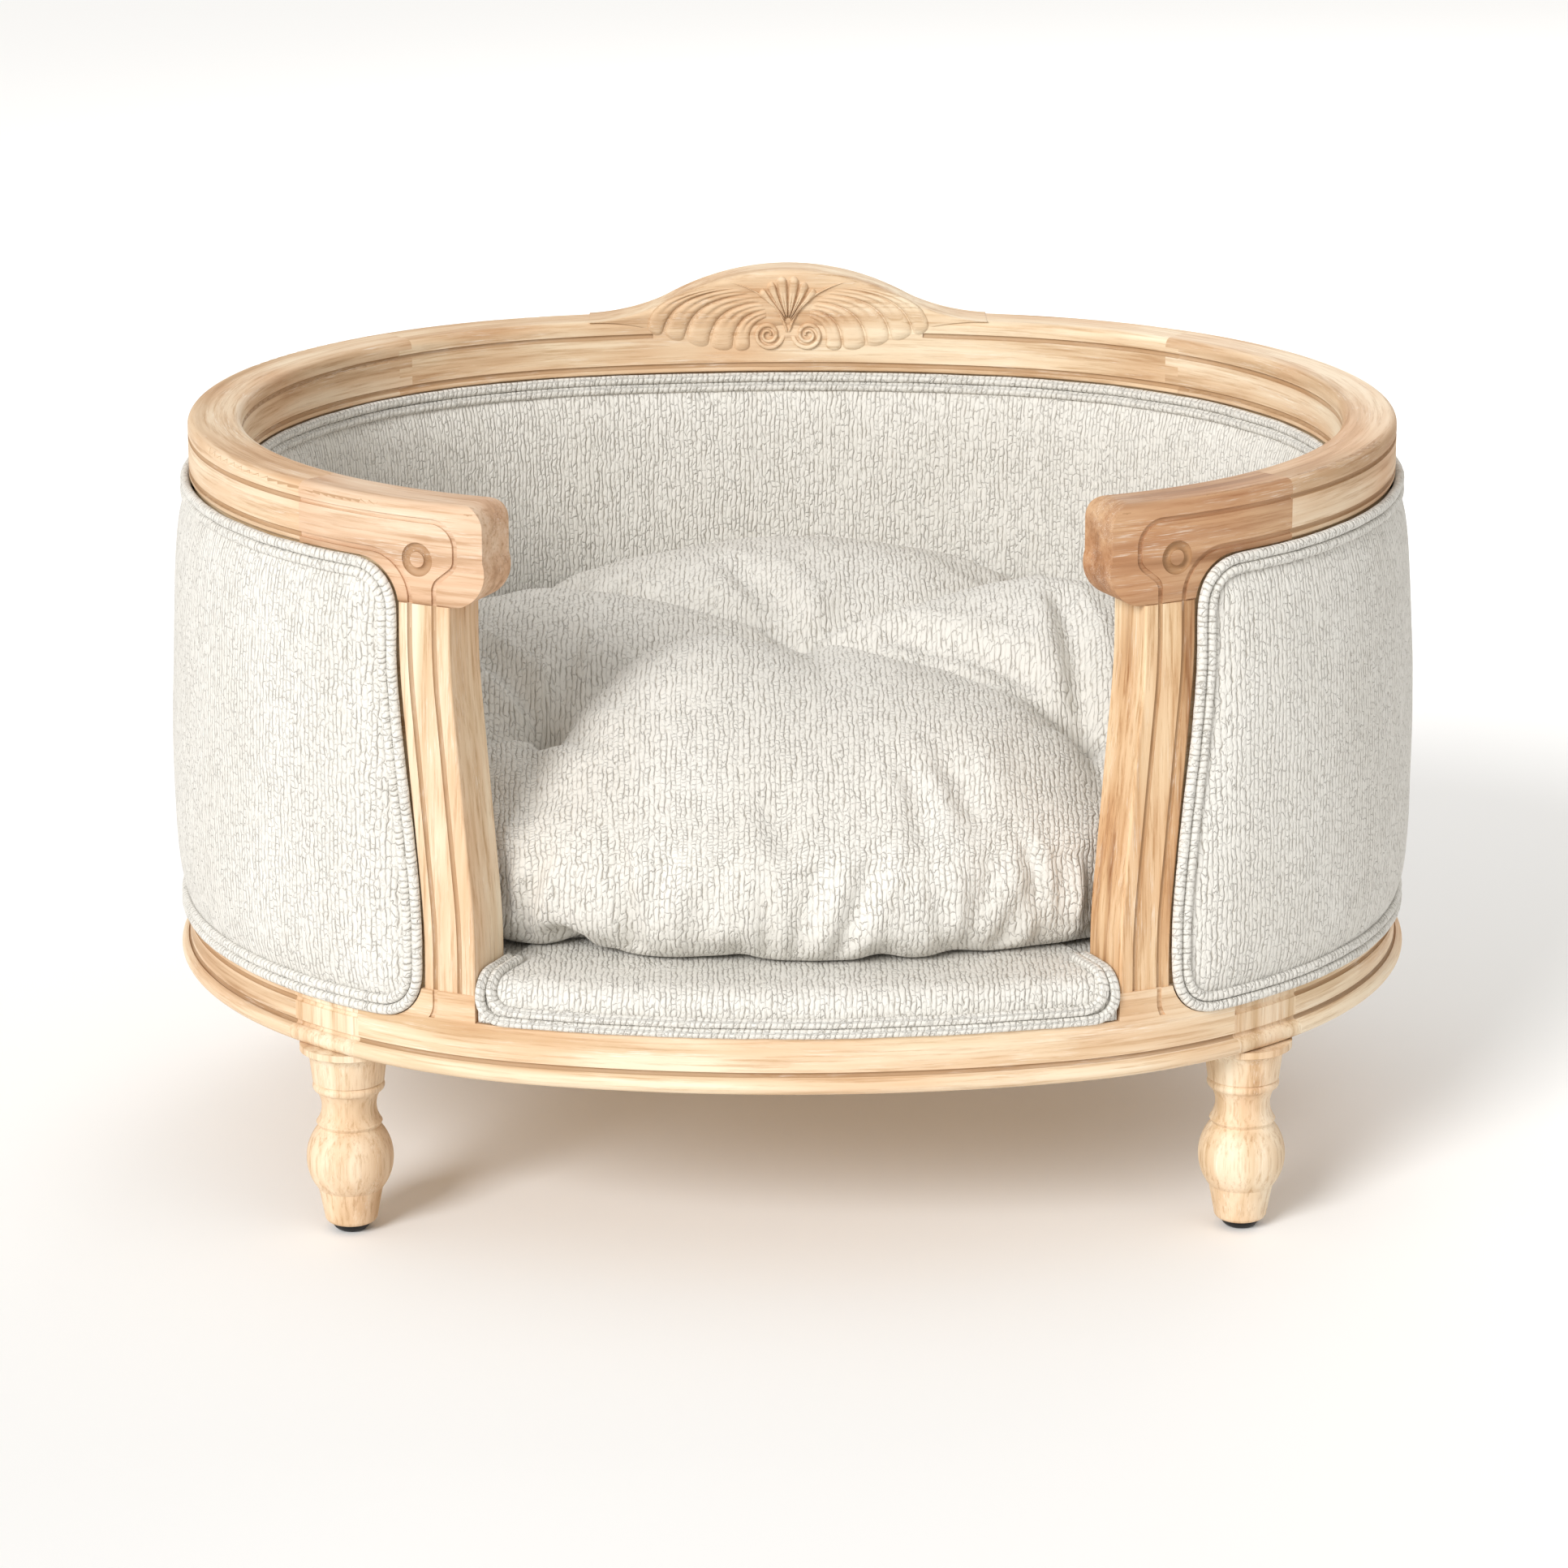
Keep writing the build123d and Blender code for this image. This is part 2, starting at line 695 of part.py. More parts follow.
def back_leg():
    """Right back leg: a block of the seat rail and a turned foot in one piece."""
    first, last = leg_edges()
    body = band(grooved_seat_profile(), first, last)
    keep = band(block(-SEAT_RAIL_INNER, 2 * FASCIA_OUT, 0, rail_top), first, last)
    shoulder = block(0, 2 * LEG_BULB_RADIUS, LEG_HEIGHT, rail_top)
    turned = Pos(leg_foot) * revolve(Plane.XZ * (leg_section() - shoulder), Axis.Z)
    head = Pos(leg_foot) * revolve(Plane.XZ * (leg_section() & shoulder), Axis.Z)
    body = body + turned + (head & keep & band(grooved_seat_profile(), first, last))
    hole = Pos(leg_foot) * rod(Vector(0, 0, 0), Vector(0, 0, 1), NAIL_LENGTH + DOWEL_CLEARANCE, NAIL_RADIUS)
    holes = rail_dowels(first, DOWEL_CLEARANCE) + rail_dowels(last, DOWEL_CLEARANCE)
    return without(body, holes + [hole])


def glide():
    """Nail-on floor glide with a small flat where it stands."""
    face = make_face(
        [
            Line((0, 0), (GLIDE_FLAT_RADIUS, 0)),
            ThreePointArc(
                (GLIDE_FLAT_RADIUS, 0),
                (GLIDE_RADIUS * 0.9, GLIDE_HEIGHT * 0.45),
                (GLIDE_RADIUS, GLIDE_HEIGHT),
            ),
            Line((GLIDE_RADIUS, GLIDE_HEIGHT), (0, GLIDE_HEIGHT)),
            Line((0, GLIDE_HEIGHT), (0, 0)),
        ]
    )
    body = revolve(Plane.XZ * face, Axis.Z)
    hole = rod(Vector(0, 0, GLIDE_HEIGHT / 2), Vector(0, 0, 1), GLIDE_HEIGHT, NAIL_RADIUS)
    return Pos(leg_foot) * (body - hole)


def glide_nail():
    nail = rod(Vector(0, 0, GLIDE_HEIGHT / 2), Vector(0, 0, 1), NAIL_LENGTH - GLIDE_HEIGHT / 2, NAIL_RADIUS)
    return Pos(leg_foot) * nail


def stud(normal):
    face = polygon(
        (-STUD_INNER, rail_top),
        (wall_base(rail_top) - LINING, rail_top),
        (wall_base(panel_top) - LINING, panel_top),
        (-STUD_INNER, panel_top),
    )
    return band(face, normal - STUD_SWEEP / 2, normal + STUD_SWEEP / 2)


def outer_lining():
    return outer_layer(-LINING, 0, 0, 0, rail_top)


def inner_lining():
    return inner_layer(-LINING, 0, 0, 0, rail_top)


def outer_padding():
    inset = welt_border + CLOTH
    strip = outer_layer(0, STRIP_PAD, 0, 0, panel_bottom)
    crown = outer_layer(STRIP_PAD, STRIP_PAD + OUTER_PAD, inset, OUTER_BULGE, panel_bottom + inset)
    return strip + crown


def outer_cover(padding):
    inset = welt_border
    outside = STRIP_PAD + OUTER_PAD + CLOTH
    strip = outer_layer(STRIP_PAD, STRIP_PAD + CLOTH, 0, 0, panel_bottom)
    crown = outer_layer(STRIP_PAD, outside, inset, OUTER_BULGE, panel_bottom + inset)
    return strip + crown - padding


def inner_padding():
    inset = welt_border + CLOTH
    strip = inner_layer(0, STRIP_PAD, 0, 0, inner_bottom)
    crown = inner_layer(STRIP_PAD, STRIP_PAD + INNER_PAD, inset, INNER_BULGE, inner_bottom)
    return strip + crown


def inner_cover(padding):
    outside = STRIP_PAD + INNER_PAD + CLOTH
    strip = inner_layer(STRIP_PAD, STRIP_PAD + CLOTH, 0, 0, inner_bottom)
    crown = inner_layer(STRIP_PAD, outside, welt_border, INNER_BULGE, inner_bottom)
    return strip + crown - padding


def level_run(first, last, offset, height):
    """Arcs of the oval at one height, from one normal to another."""
    low, high = min(first, last), max(first, last)
    stops = stops_between(low, high)
    edges = []
    for start, end in zip(stops, stops[1:]):
        ends = [oval_point(n, offset, height) for n in (start, (start + end) / 2, end)]
        edges.append(ThreePointArc(*ends))
    return edges


def corner_normal(across, offset):
    return POST_NORMAL - degrees(asin(across / (post_radius + offset)))


def cord(runs):
    """Sweep one round cord along joined runs of edges."""
    edges = []
    for run in runs:
        edges += list(run.edges())
    path = Wire(edges)
    start = Plane(path @ 0, z_dir=path % 0)
    return sweep(start * Circle(WELT_RADIUS), path)


def welt_side(rest, inset, low, turn_low):
    """Right-hand half of one cord of a panel's double welt, from the middle of the back."""
    ease = 1.0
    high = panel_top - inset
    radius = PANEL_CORNER - inset
    run = radius + ease
    top_across = post_top_across + post_edge - inset
    low_across = post_low_across + post_edge - inset
    high_normal = corner_normal(top_across - run, rest(high))
    high_start = oval_point(high_normal, rest(high), high)
    points = [
        high_start,
        high_start + frontward(high_normal) * run,
        post_point(top_across, rest(upper_bend), upper_bend),
        post_point(low_across, rest(lower_bend), lower_bend),
    ]
    radii = [radius, POST_BEND_RADIUS / 2, POST_BEND_RADIUS / 2]
    runs = level_run(high_normal, BACK, rest(high), high)
    if turn_low:
        foot = low + inset
        low_normal = corner_normal(low_across - run, rest(foot))
        low_start = oval_point(low_normal, rest(foot), foot)
        points += [low_start + frontward(low_normal) * run, low_start]
        radii.append(radius)
        runs += level_run(low_normal, BACK, rest(foot), foot)
    else:
        points.append(post_point(low_across, rest(low), low))
    runs.append(FilletPolyline(*points, radius=radii))
    return cord(runs)


welt_insets = (WELT_RADIUS + WELT_CLEARANCE, WELT_RADIUS + WELT_CLEARANCE + welt_pitch)
welt_lift = STRIP_PAD + CLOTH + WELT_RADIUS


def outer_welt():
    def rest(height):
        return wall_base(height) + welt_lift + OUTER_WELT_SEAT

    return [both_sides(welt_side(rest, inset, panel_bottom, True)) for inset in welt_insets]


def inner_welt():
    def rest(height):
        return -STUD_INNER - LINING - welt_lift - INNER_WELT_SEAT

    return [both_sides(welt_side(rest, inset, inner_bottom, False)) for inset in welt_insets]


deck_offset = -SEAT_RAIL_INNER - DECK_CLEARANCE


def deck_screw_places():
    """Points on the board's top over the cleats."""
    inset = -SEAT_RAIL_INNER - CLEAT_WIDTH / 2
    return [oval_point(normal, inset, board_top) for normal in (-90, -30, 30, 90, 150, 210)]


def deck_screw(point, grow):
    shank = rod(point, Vector(0, 0, -1), SCREW_LENGTH + grow, SCREW_RADIUS + grow)
    head = rod(point, Vector(0, 0, -1), SCREW_RADIUS + grow, SCREW_HEAD_RADIUS + grow)
    return shank + head


def deck_board():
    board = extrude(Pos(0, 0, board_bottom) * oval_face(frame_oval, deck_offset), DECK_BOARD)
    return without(board, [deck_screw(point, DOWEL_CLEARANCE) for point in deck_screw_places()])


def deck_cleats():
    face = block(-SEAT_RAIL_INNER - CLEAT_WIDTH, -SEAT_RAIL_INNER, board_bottom - CLEAT_HEIGHT, board_bottom)
    first, last = leg_edges()
    spans = [(-LEFT + last, -last), (-first, first), (last, LEFT - last), (LEFT - first, LEFT + first)]
    holes = [deck_screw(point, DOWEL_CLEARANCE) for point in deck_screw_places()]
    return [without(band(face, start, end), holes) for start, end in spans]


def post_room():
    """Space taken by the right post and its side, to keep the deck's soft layers out of it."""
    inner = post_low_across + POST_WIDTH / 2 + POST_CLEARANCE
    return through(block(inner - 2 * POST_WIDTH, inner, rail_top, arm_bottom), POST_DEPTH * 1.3)


def front_tongue(face):
    """A layer that runs out over the front rail between the posts."""
    left_end, right_end = flap_span()
    body = band(face, left_end, right_end)
    room = post_room()
    return body - room - flipped(room)


def deck_padding():
    plate = extrude(Pos(0, 0, board_top) * oval_face(frame_oval, deck_offset), DECK_PAD)
    front = FLAP_REST
    shape = make_face(
        [
            Line((deck_offset - 4, rail_top), (front, rail_top)),
            Line((front, rail_top), (front, rail_top + 2)),
            ThreePointArc((front, rail_top + 2), (front - 2, deck_pad_top - 2), (front - 8, deck_pad_top)),
            Line((front - 8, deck_pad_top), (deck_offset - 4, deck_pad_top)),
            Line((deck_offset - 4, deck_pad_top), (deck_offset - 4, rail_top)),
        ]
    )
    return plate + front_tongue(shape)


def deck_cover():
    """Cloth over the deck, with a flap that laps the front rail."""
    plate = extrude(Pos(0, 0, deck_pad_top) * oval_face(frame_oval, deck_offset), CLOTH)
    front = FLAP_REST
    face = FLAP_REST + CLOTH
    shape = make_face(
        [
            Line((deck_offset - 4, deck_pad_top), (front - 8, deck_pad_top)),
            ThreePointArc((front - 8, deck_pad_top), (front - 2, deck_pad_top - 2), (front, rail_top + 2)),
            Line((front, rail_top + 2), (front, rail_top - 1)),
            Line((front, rail_top - 1), (face, rail_top - 1)),
            Line((face, rail_top - 1), (face, rail_top + 2)),
            ThreePointArc(
                (face, rail_top + 2),
                (face - 2, deck_pad_top + CLOTH - 2),
                (front - 8, deck_top),
            ),
            Line((front - 8, deck_top), (deck_offset - 4, deck_top)),
            Line((deck_offset - 4, deck_top), (deck_offset - 4, deck_pad_top)),
        ]
    )
    left_end, right_end = flap_span()
    flap = band(block(front, face, flap_bottom, rail_top), left_end, right_end)
    return plate + front_tongue(shape) + flap


def deck_welt():
    """Double welt that runs along the flap, up its ends and back beside the posts."""
    cords = []
    for inset in welt_insets:
        offset = FLAP_REST + CLOTH + WELT_RADIUS + DECK_WELT_SEAT
        low = flap_bottom + inset
        high = deck_top + WELT_RADIUS + DECK_WELT_SEAT
        bend = 8.0
        across = post_low_across + POST_WIDTH / 2 + POST_CLEARANCE + inset
        normal = corner_normal(across + bend, offset)
        start = oval_point(normal, offset, low)
        corner = start - frontward(normal) * bend
        lift = corner + Vector(0, 0, high - low)
        back = lift - outward(POST_NORMAL) * POST_DEPTH
        turn = FilletPolyline(start, corner, lift, back, radius=[bend - 1, bend])
        run = level_run(FRONT, normal, offset, low)
        cords.append(both_sides(cord(run + [turn])))
    return cords


inner_face = STUD_INNER + LINING + STRIP_PAD + INNER_PAD + CLOTH + INNER_BULGE
cushion_half_width = HALF_WIDTH - inner_face - CUSHION_SIDE_GAP
cushion_back = HALF_DEPTH - inner_face - CUSHION_SIDE_GAP
cushion_half_depth = cushion_back + CUSHION_FRONT_REACH
cushion_low = deck_top + CUSHION_REST_GAP
cushion_end_radius = END_RADIUS - inner_face - CUSHION_SIDE_GAP - CUSHION_FRONT_REACH
cushion_oval = (cushion_half_width, cushion_half_depth, cushion_end_radius, -CUSHION_FRONT_REACH)
tufts = [(0.0, 0.0)] + [(x, y) for x in (-TUFT_X, TUFT_X) for y in (-TUFT_Y, TUFT_Y)]


def cushion_form(shrink):
    """Crowned cushion with drawn-in sides, dished at its tufts and creased between them."""
    low = cushion_low + shrink
    top = cushion_low + CUSHION_HEIGHT - shrink
    girth = cushion_low + CUSHION_GIRTH
    side = -shrink
    foot = side - CUSHION_DRAW
    inner = -CUSHION_CROWN
    rise = top - girth
    reach = side - inner
    shoulder = CUSHION_SHOULDER - shrink
    far = ((reach - shoulder) ** 2 + rise**2 - shoulder**2) / (2 * (rise - shoulder))
    lean = atan2(far - rise, reach - shoulder)
    turn = (side - shoulder + shoulder * cos(lean), girth + shoulder * sin(lean))
    half = (lean + radians(90)) / 2
    hip = (side - shoulder + shoulder * cos(lean / 2), girth + shoulder * sin(lean / 2))
    brow = (inner + far * cos(half), top - far + far * sin(half))
    tuck = (side - CUSHION_DRAW * 0.2, low + (girth - low) * 0.36)
    profile = make_face(
        [
            Line((inner, low), (foot, low)),
            ThreePointArc((foot, low), tuck, (side, girth)),
            ThreePointArc((side, girth), hip, turn),
            ThreePointArc(turn, brow, (inner, top)),
            Line((inner, top), (inner, low)),
        ]
    )
    junction = oval_arcs(cushion_oval)[3]
    core = extrude(Pos(0, 0, low) * oval_face(cushion_oval, inner), top - low)
    body = fused([core] + band_pieces(profile, -junction, TURN - junction, cushion_oval))
    for x, y in tufts:
        body -= Pos(x, y, top - TUFT_DEPTH + TUFT_RADIUS) * Sphere(TUFT_RADIUS + shrink)
    for x, y in tufts[1:]:
        start = Vector(0, 0, top - CREASE_DEPTH + CREASE_RADIUS)
        body -= rod(start, Vector(x, y, 0), (x * x + y * y) ** 0.5, CREASE_RADIUS + shrink)
    return body


tuft_floor = cushion_low + CUSHION_HEIGHT - TUFT_DEPTH


def tie_hole(x, y):
    return Pos(x, y, cushion_low) * rod(
        Vector(0, 0, -1), Vector(0, 0, 1), CUSHION_HEIGHT, TIE_RADIUS + TIE_CLEARANCE
    )


def anchor_pocket(x, y):
    deep = ANCHOR_THICKNESS + TIE_CLEARANCE + CUSHION_CLOTH
    return Pos(x, y, cushion_low - 1) * rod(
        Vector(0, 0, 0), Vector(0, 0, 1), deep + 1, ANCHOR_RADIUS + TIE_CLEARANCE
    )


def tuft_tie(x, y):
    """Twine from a flat anchor under the cushion up to a knot in the tuft."""
    foot = cushion_low + TIE_CLEARANCE
    top = tuft_floor + KNOT_RADIUS
    anchor = rod(Vector(0, 0, foot), Vector(0, 0, 1), ANCHOR_THICKNESS, ANCHOR_RADIUS)
    twine = rod(Vector(0, 0, foot), Vector(0, 0, 1), top - foot, TIE_RADIUS)
    knot = Pos(0, 0, top + TIE_CLEARANCE) * Sphere(KNOT_RADIUS)
    return Pos(x, y, 0) * (anchor + twine + knot)


zip_middle = cushion_low + ZIP_POCKET_DEPTH * 0.55
zip_y = -CUSHION_FRONT_REACH + TUFT_Y / 2
zip_end = ZIP_LENGTH / 2 + SLIDER_LENGTH


def zip_pocket(grow):
    box = Box(2 * (zip_end + grow), ZIP_POCKET_WIDTH + 2 * grow, 2 * (ZIP_POCKET_DEPTH + grow))
    return Pos(0, zip_y, cushion_low) * box


def zip_tapes():
    """The two tapes, each with its half of the chain, held at the ends of the pocket."""
    tape = Box(2 * zip_end, ZIP_TAPE_WIDTH, ZIP_TAPE)
    chain = Box(2 * zip_end, ZIP_CHAIN_WIDTH, ZIP_CHAIN)
    slot = Box(3 * zip_end, ZIP_SLOT, 2 * ZIP_CHAIN)
    halves = Pos(0, zip_y, zip_middle) * (tape + chain - slot)
    return list(halves.solids())


def zip_slider():
    """Two plates round the chain, joined by the bridge that runs in its slot."""
    chain_height = ZIP_CHAIN + 2 * SLIDER_CLEARANCE
    outer = Box(SLIDER_LENGTH, SLIDER_WIDTH, chain_height + 2 * SLIDER_WALL)
    outer = fillet(outer.edges().filter_by(Axis.Z), SLIDER_WALL)
    inside = Box(2 * SLIDER_LENGTH, ZIP_CHAIN_WIDTH + 2 * SLIDER_CLEARANCE, chain_height)
    slit = Box(2 * SLIDER_LENGTH, 2 * SLIDER_WIDTH, ZIP_TAPE + 2 * SLIDER_CLEARANCE)
    bridge = Box(SLIDER_LENGTH / 2, SLIDER_BRIDGE, chain_height)
    body = outer - inside - slit + bridge
    return Pos(-ZIP_LENGTH / 2, zip_y, zip_middle) * body


def four_legs(shape):
    front = mirror(shape, about=Plane.XZ)
    return {
        "back_right": shape,
        "back_left": flipped(shape),
        "front_right": front,
        "front_left": flipped(front),
    }


nodes = {}
nodes["crest_rail"] = crest_rail()
nodes["crest_cap"] = crest_cap()
for name, maker in (
    ("top_rail", side_top_rail),
    ("arm", arm),
    ("front_post", front_post),
    ("side_rail", side_rail),
):
    right = maker()
    nodes[name + "_right"] = right
    nodes[name + "_left"] = flipped(right)
nodes["front_rail"] = front_rail()
nodes["back_rail"] = back_rail()
for place, shape in four_legs(back_leg()).items():
    nodes["leg_" + place] = shape
for place, shape in four_legs(glide()).items():
    nodes["glide_" + place] = shape
nodes["glide_nails"] = Compound(children=list(four_legs(glide_nail()).values()))
for place, normal in (("side", SIDE_STUD_NORMAL), ("back", BACK_STUD_NORMAL)):
    right = stud(normal)
    nodes["stud_" + place + "_right"] = right
    nodes["stud_" + place + "_left"] = flipped(right)

outer_pad = outer_padding()
inner_pad = inner_padding()
nodes["outer_lining"] = outer_lining()
nodes["inner_lining"] = inner_lining()
nodes["outer_padding"] = outer_pad
nodes["inner_padding"] = inner_pad
nodes["outer_cover"] = outer_cover(outer_pad)
nodes["inner_cover"] = inner_cover(inner_pad)
nodes["outer_welt"] = Compound(children=outer_welt())
nodes["inner_welt"] = Compound(children=inner_welt())

nodes["deck_board"] = deck_board()
nodes["deck_cleats"] = Compound(children=deck_cleats())
nodes["deck_screws"] = Compound(children=[deck_screw(point, 0) for point in deck_screw_places()])
nodes["deck_padding"] = deck_padding()
nodes["deck_cover"] = deck_cover()
nodes["deck_welt"] = Compound(children=deck_welt())

leg_first, leg_last = leg_edges()
pins = arm_dowels(0) + post_dowels(0)
pins += [pin for normal in (-leg_last, -leg_first, leg_first, leg_last) for pin in rail_dowels(normal, 0)]
pins.append(crest_dowel(0))
nodes["dowels"] = Compound(children=pins + [flipped(pin) for pin in pins])

inner_form = cushion_form(CUSHION_CLOTH)
filling = cushion_form(CUSHION_CLOTH + FILL_CLEARANCE)
pocket = zip_pocket(0)
liner = zip_pocket(CUSHION_CLOTH)
cover = cushion_form(0) - inner_form + (liner & cushion_form(0)) - pocket
stuffing = filling - zip_pocket(CUSHION_CLOTH + FILL_CLEARANCE)
for x, y in tufts:
    cover = cover - tie_hole(x, y) - anchor_pocket(x, y)
    stuffing = stuffing - tie_hole(x, y) - anchor_pocket(x, y)
nodes["cushion_cover"] = cover
nodes["cushion_filling"] = stuffing
nodes["tuft_ties"] = Compound(children=[tuft_tie(x, y) for x, y in tufts])
nodes["zip_tapes"] = Compound(children=zip_tapes())
nodes["zip_slider"] = zip_slider()

for name, shape in nodes.items():
    export_step(shape, "parts/" + name + ".step")
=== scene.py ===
import math

import bmesh
import bpy
import numpy as np
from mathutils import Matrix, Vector, noise


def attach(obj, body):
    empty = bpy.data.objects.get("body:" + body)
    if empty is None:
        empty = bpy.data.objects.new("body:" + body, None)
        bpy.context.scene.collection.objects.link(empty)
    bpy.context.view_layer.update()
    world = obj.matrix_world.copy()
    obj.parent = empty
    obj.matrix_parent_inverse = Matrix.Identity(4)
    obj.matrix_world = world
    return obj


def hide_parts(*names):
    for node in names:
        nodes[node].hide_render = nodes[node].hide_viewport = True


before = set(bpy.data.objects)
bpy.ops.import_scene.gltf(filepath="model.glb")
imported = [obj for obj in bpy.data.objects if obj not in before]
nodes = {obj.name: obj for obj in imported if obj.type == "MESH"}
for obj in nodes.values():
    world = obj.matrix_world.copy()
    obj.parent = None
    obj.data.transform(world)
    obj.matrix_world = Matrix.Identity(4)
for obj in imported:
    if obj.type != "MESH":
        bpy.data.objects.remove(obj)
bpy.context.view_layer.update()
scene = bpy.context.scene


class Oval:
    """A four-centre oval: two round ends joined by two flatter sides."""

    def __init__(self, half_width, half_depth, end_radius):
        self.end_radius = end_radius
        self.end = half_width - end_radius
        self.side_radius = (self.end**2 + half_depth**2 - end_radius**2) / (2 * (half_depth - end_radius))
        self.side = self.side_radius - half_depth
        self.join = math.pi / 2 - math.atan2(self.end, self.side)

    def point(self, normal, offset, z):
        """Points for outward normals in radians, at offsets from the oval."""
        n, o, z = np.broadcast_arrays(*(np.asarray(v, float) for v in (normal, offset, z)))
        turn = (n + math.pi) % (2 * math.pi) - math.pi
        right, left = np.abs(turn) <= self.join, np.abs(turn) >= math.pi - self.join
        cx = np.where(right, self.end, np.where(left, -self.end, 0.0))
        cy = np.where(right | left, 0.0, np.where(turn > 0, -self.side, self.side))
        radius = np.where(right | left, self.end_radius, self.side_radius) + o
        return np.stack([cx + radius * np.cos(n), cy + radius * np.sin(n), z], -1)

    def run_of(self, points):
        """Signed run along the oval from the middle of the back, and offset, for points."""
        x, y = np.abs(points[:, 0]), points[:, 1]
        turn = np.arctan2(y, x - self.end)
        at_end = np.abs(turn) <= self.join
        far = np.where(y > 0, self.side, -self.side)
        side_turn = np.arctan2(y + far, x)
        end_offset = np.hypot(x - self.end, y) - self.end_radius
        side_offset = np.hypot(x, y + far) - self.side_radius
        lap = self.side_radius * (math.pi / 2 - self.join)
        back = self.side_radius * (math.pi / 2 - side_turn)
        end = lap + self.end_radius * (self.join - turn)
        front = lap + 2 * self.end_radius * self.join + self.side_radius * (-self.join - side_turn)
        run = np.where(at_end, end, np.where(y > 0, back, front))
        return np.where(points[:, 0] < 0, -run, run), np.where(at_end, end_offset, side_offset)


# The oval that the frame follows, the heights of its pieces and the turn of the posts, as in the solids.
# Lengths are in metres.
OVAL = Oval(0.350, 0.280, 0.270)
PANEL_LOW, PANEL_TOP = 0.141, 0.400
ARM_TOP, CREST_TOP = 0.434, 0.464
DECK_TOP = 0.1692
POST_ANGLE = math.radians(-64.5)
NOISE_STEP = (17.3, 5.1, 9.7)


def coords(mesh):
    co = np.zeros(len(mesh.vertices) * 3)
    mesh.vertices.foreach_get("co", co)
    return co.reshape(-1, 3)


def set_attribute(mesh, name, values):
    data = mesh.attributes.new(name, "FLOAT_VECTOR", "POINT")
    data.data.foreach_set("vector", np.asarray(values, np.float32).ravel())


def set_groove_shade(mesh, domain, values):
    data = mesh.attributes.new("hollow", "FLOAT", domain)
    data.data.foreach_set("value", np.asarray(values, np.float32))


def mesh_object(name, vertices, faces):
    mesh = bpy.data.meshes.new(name)
    mesh.from_pydata([tuple(v) for v in vertices], [], [tuple(int(i) for i in f) for f in faces])
    mesh.update()
    mesh.polygons.foreach_set("use_smooth", [True] * len(mesh.polygons))
    obj = bpy.data.objects.new(name, mesh)
    scene.collection.objects.link(obj)
    return obj


def grid_faces(rows, columns, wrap=False):
    index = np.arange(rows * columns).reshape(rows, columns)
    if wrap:
        index = np.concatenate([index, index[:, :1]], 1)
    quads = np.stack([index[:-1, :-1], index[:-1, 1:], index[1:, 1:], index[1:, :-1]], -1)
    return quads.reshape(-1, 4)


def closed_faces(rows, columns):
    """Faces over a row of rings, with both ends closed."""
    last = (rows - 1) * columns
    caps = [tuple(range(columns - 1, -1, -1)), tuple(range(last, last + columns))]
    return [tuple(face) for face in grid_faces(rows, columns, True)] + caps


def joined(parts):
    """One array of vertices and one list of faces from several meshes."""
    faces, count = [], 0
    for vertices, part_faces in parts:
        faces += [tuple(i + count for i in face) for face in part_faces]
        count += len(vertices)
    return np.concatenate([vertices for vertices, _ in parts]), faces


def thicken(obj, thickness):
    thick = obj.modifiers.new("thickness", "SOLIDIFY")
    thick.thickness = thickness
    thick.offset = -1


def wobble(points, scale, seed, depth=3):
    """Smooth noise from about -1 to 1 at points, for forms a few scales across."""
    shift = Vector([seed * step for step in NOISE_STEP])
    return np.array([noise.fractal(Vector(p) * scale + shift, 1.0, 2.0, depth) for p in points])


# Materials

WHITE, BLACK = (1, 1, 1), (0, 0, 0)


def opaque(color):
    """A colour with full alpha; a socket stays as it is."""
    return color if isinstance(color, bpy.types.NodeSocket) else (*color, 1)


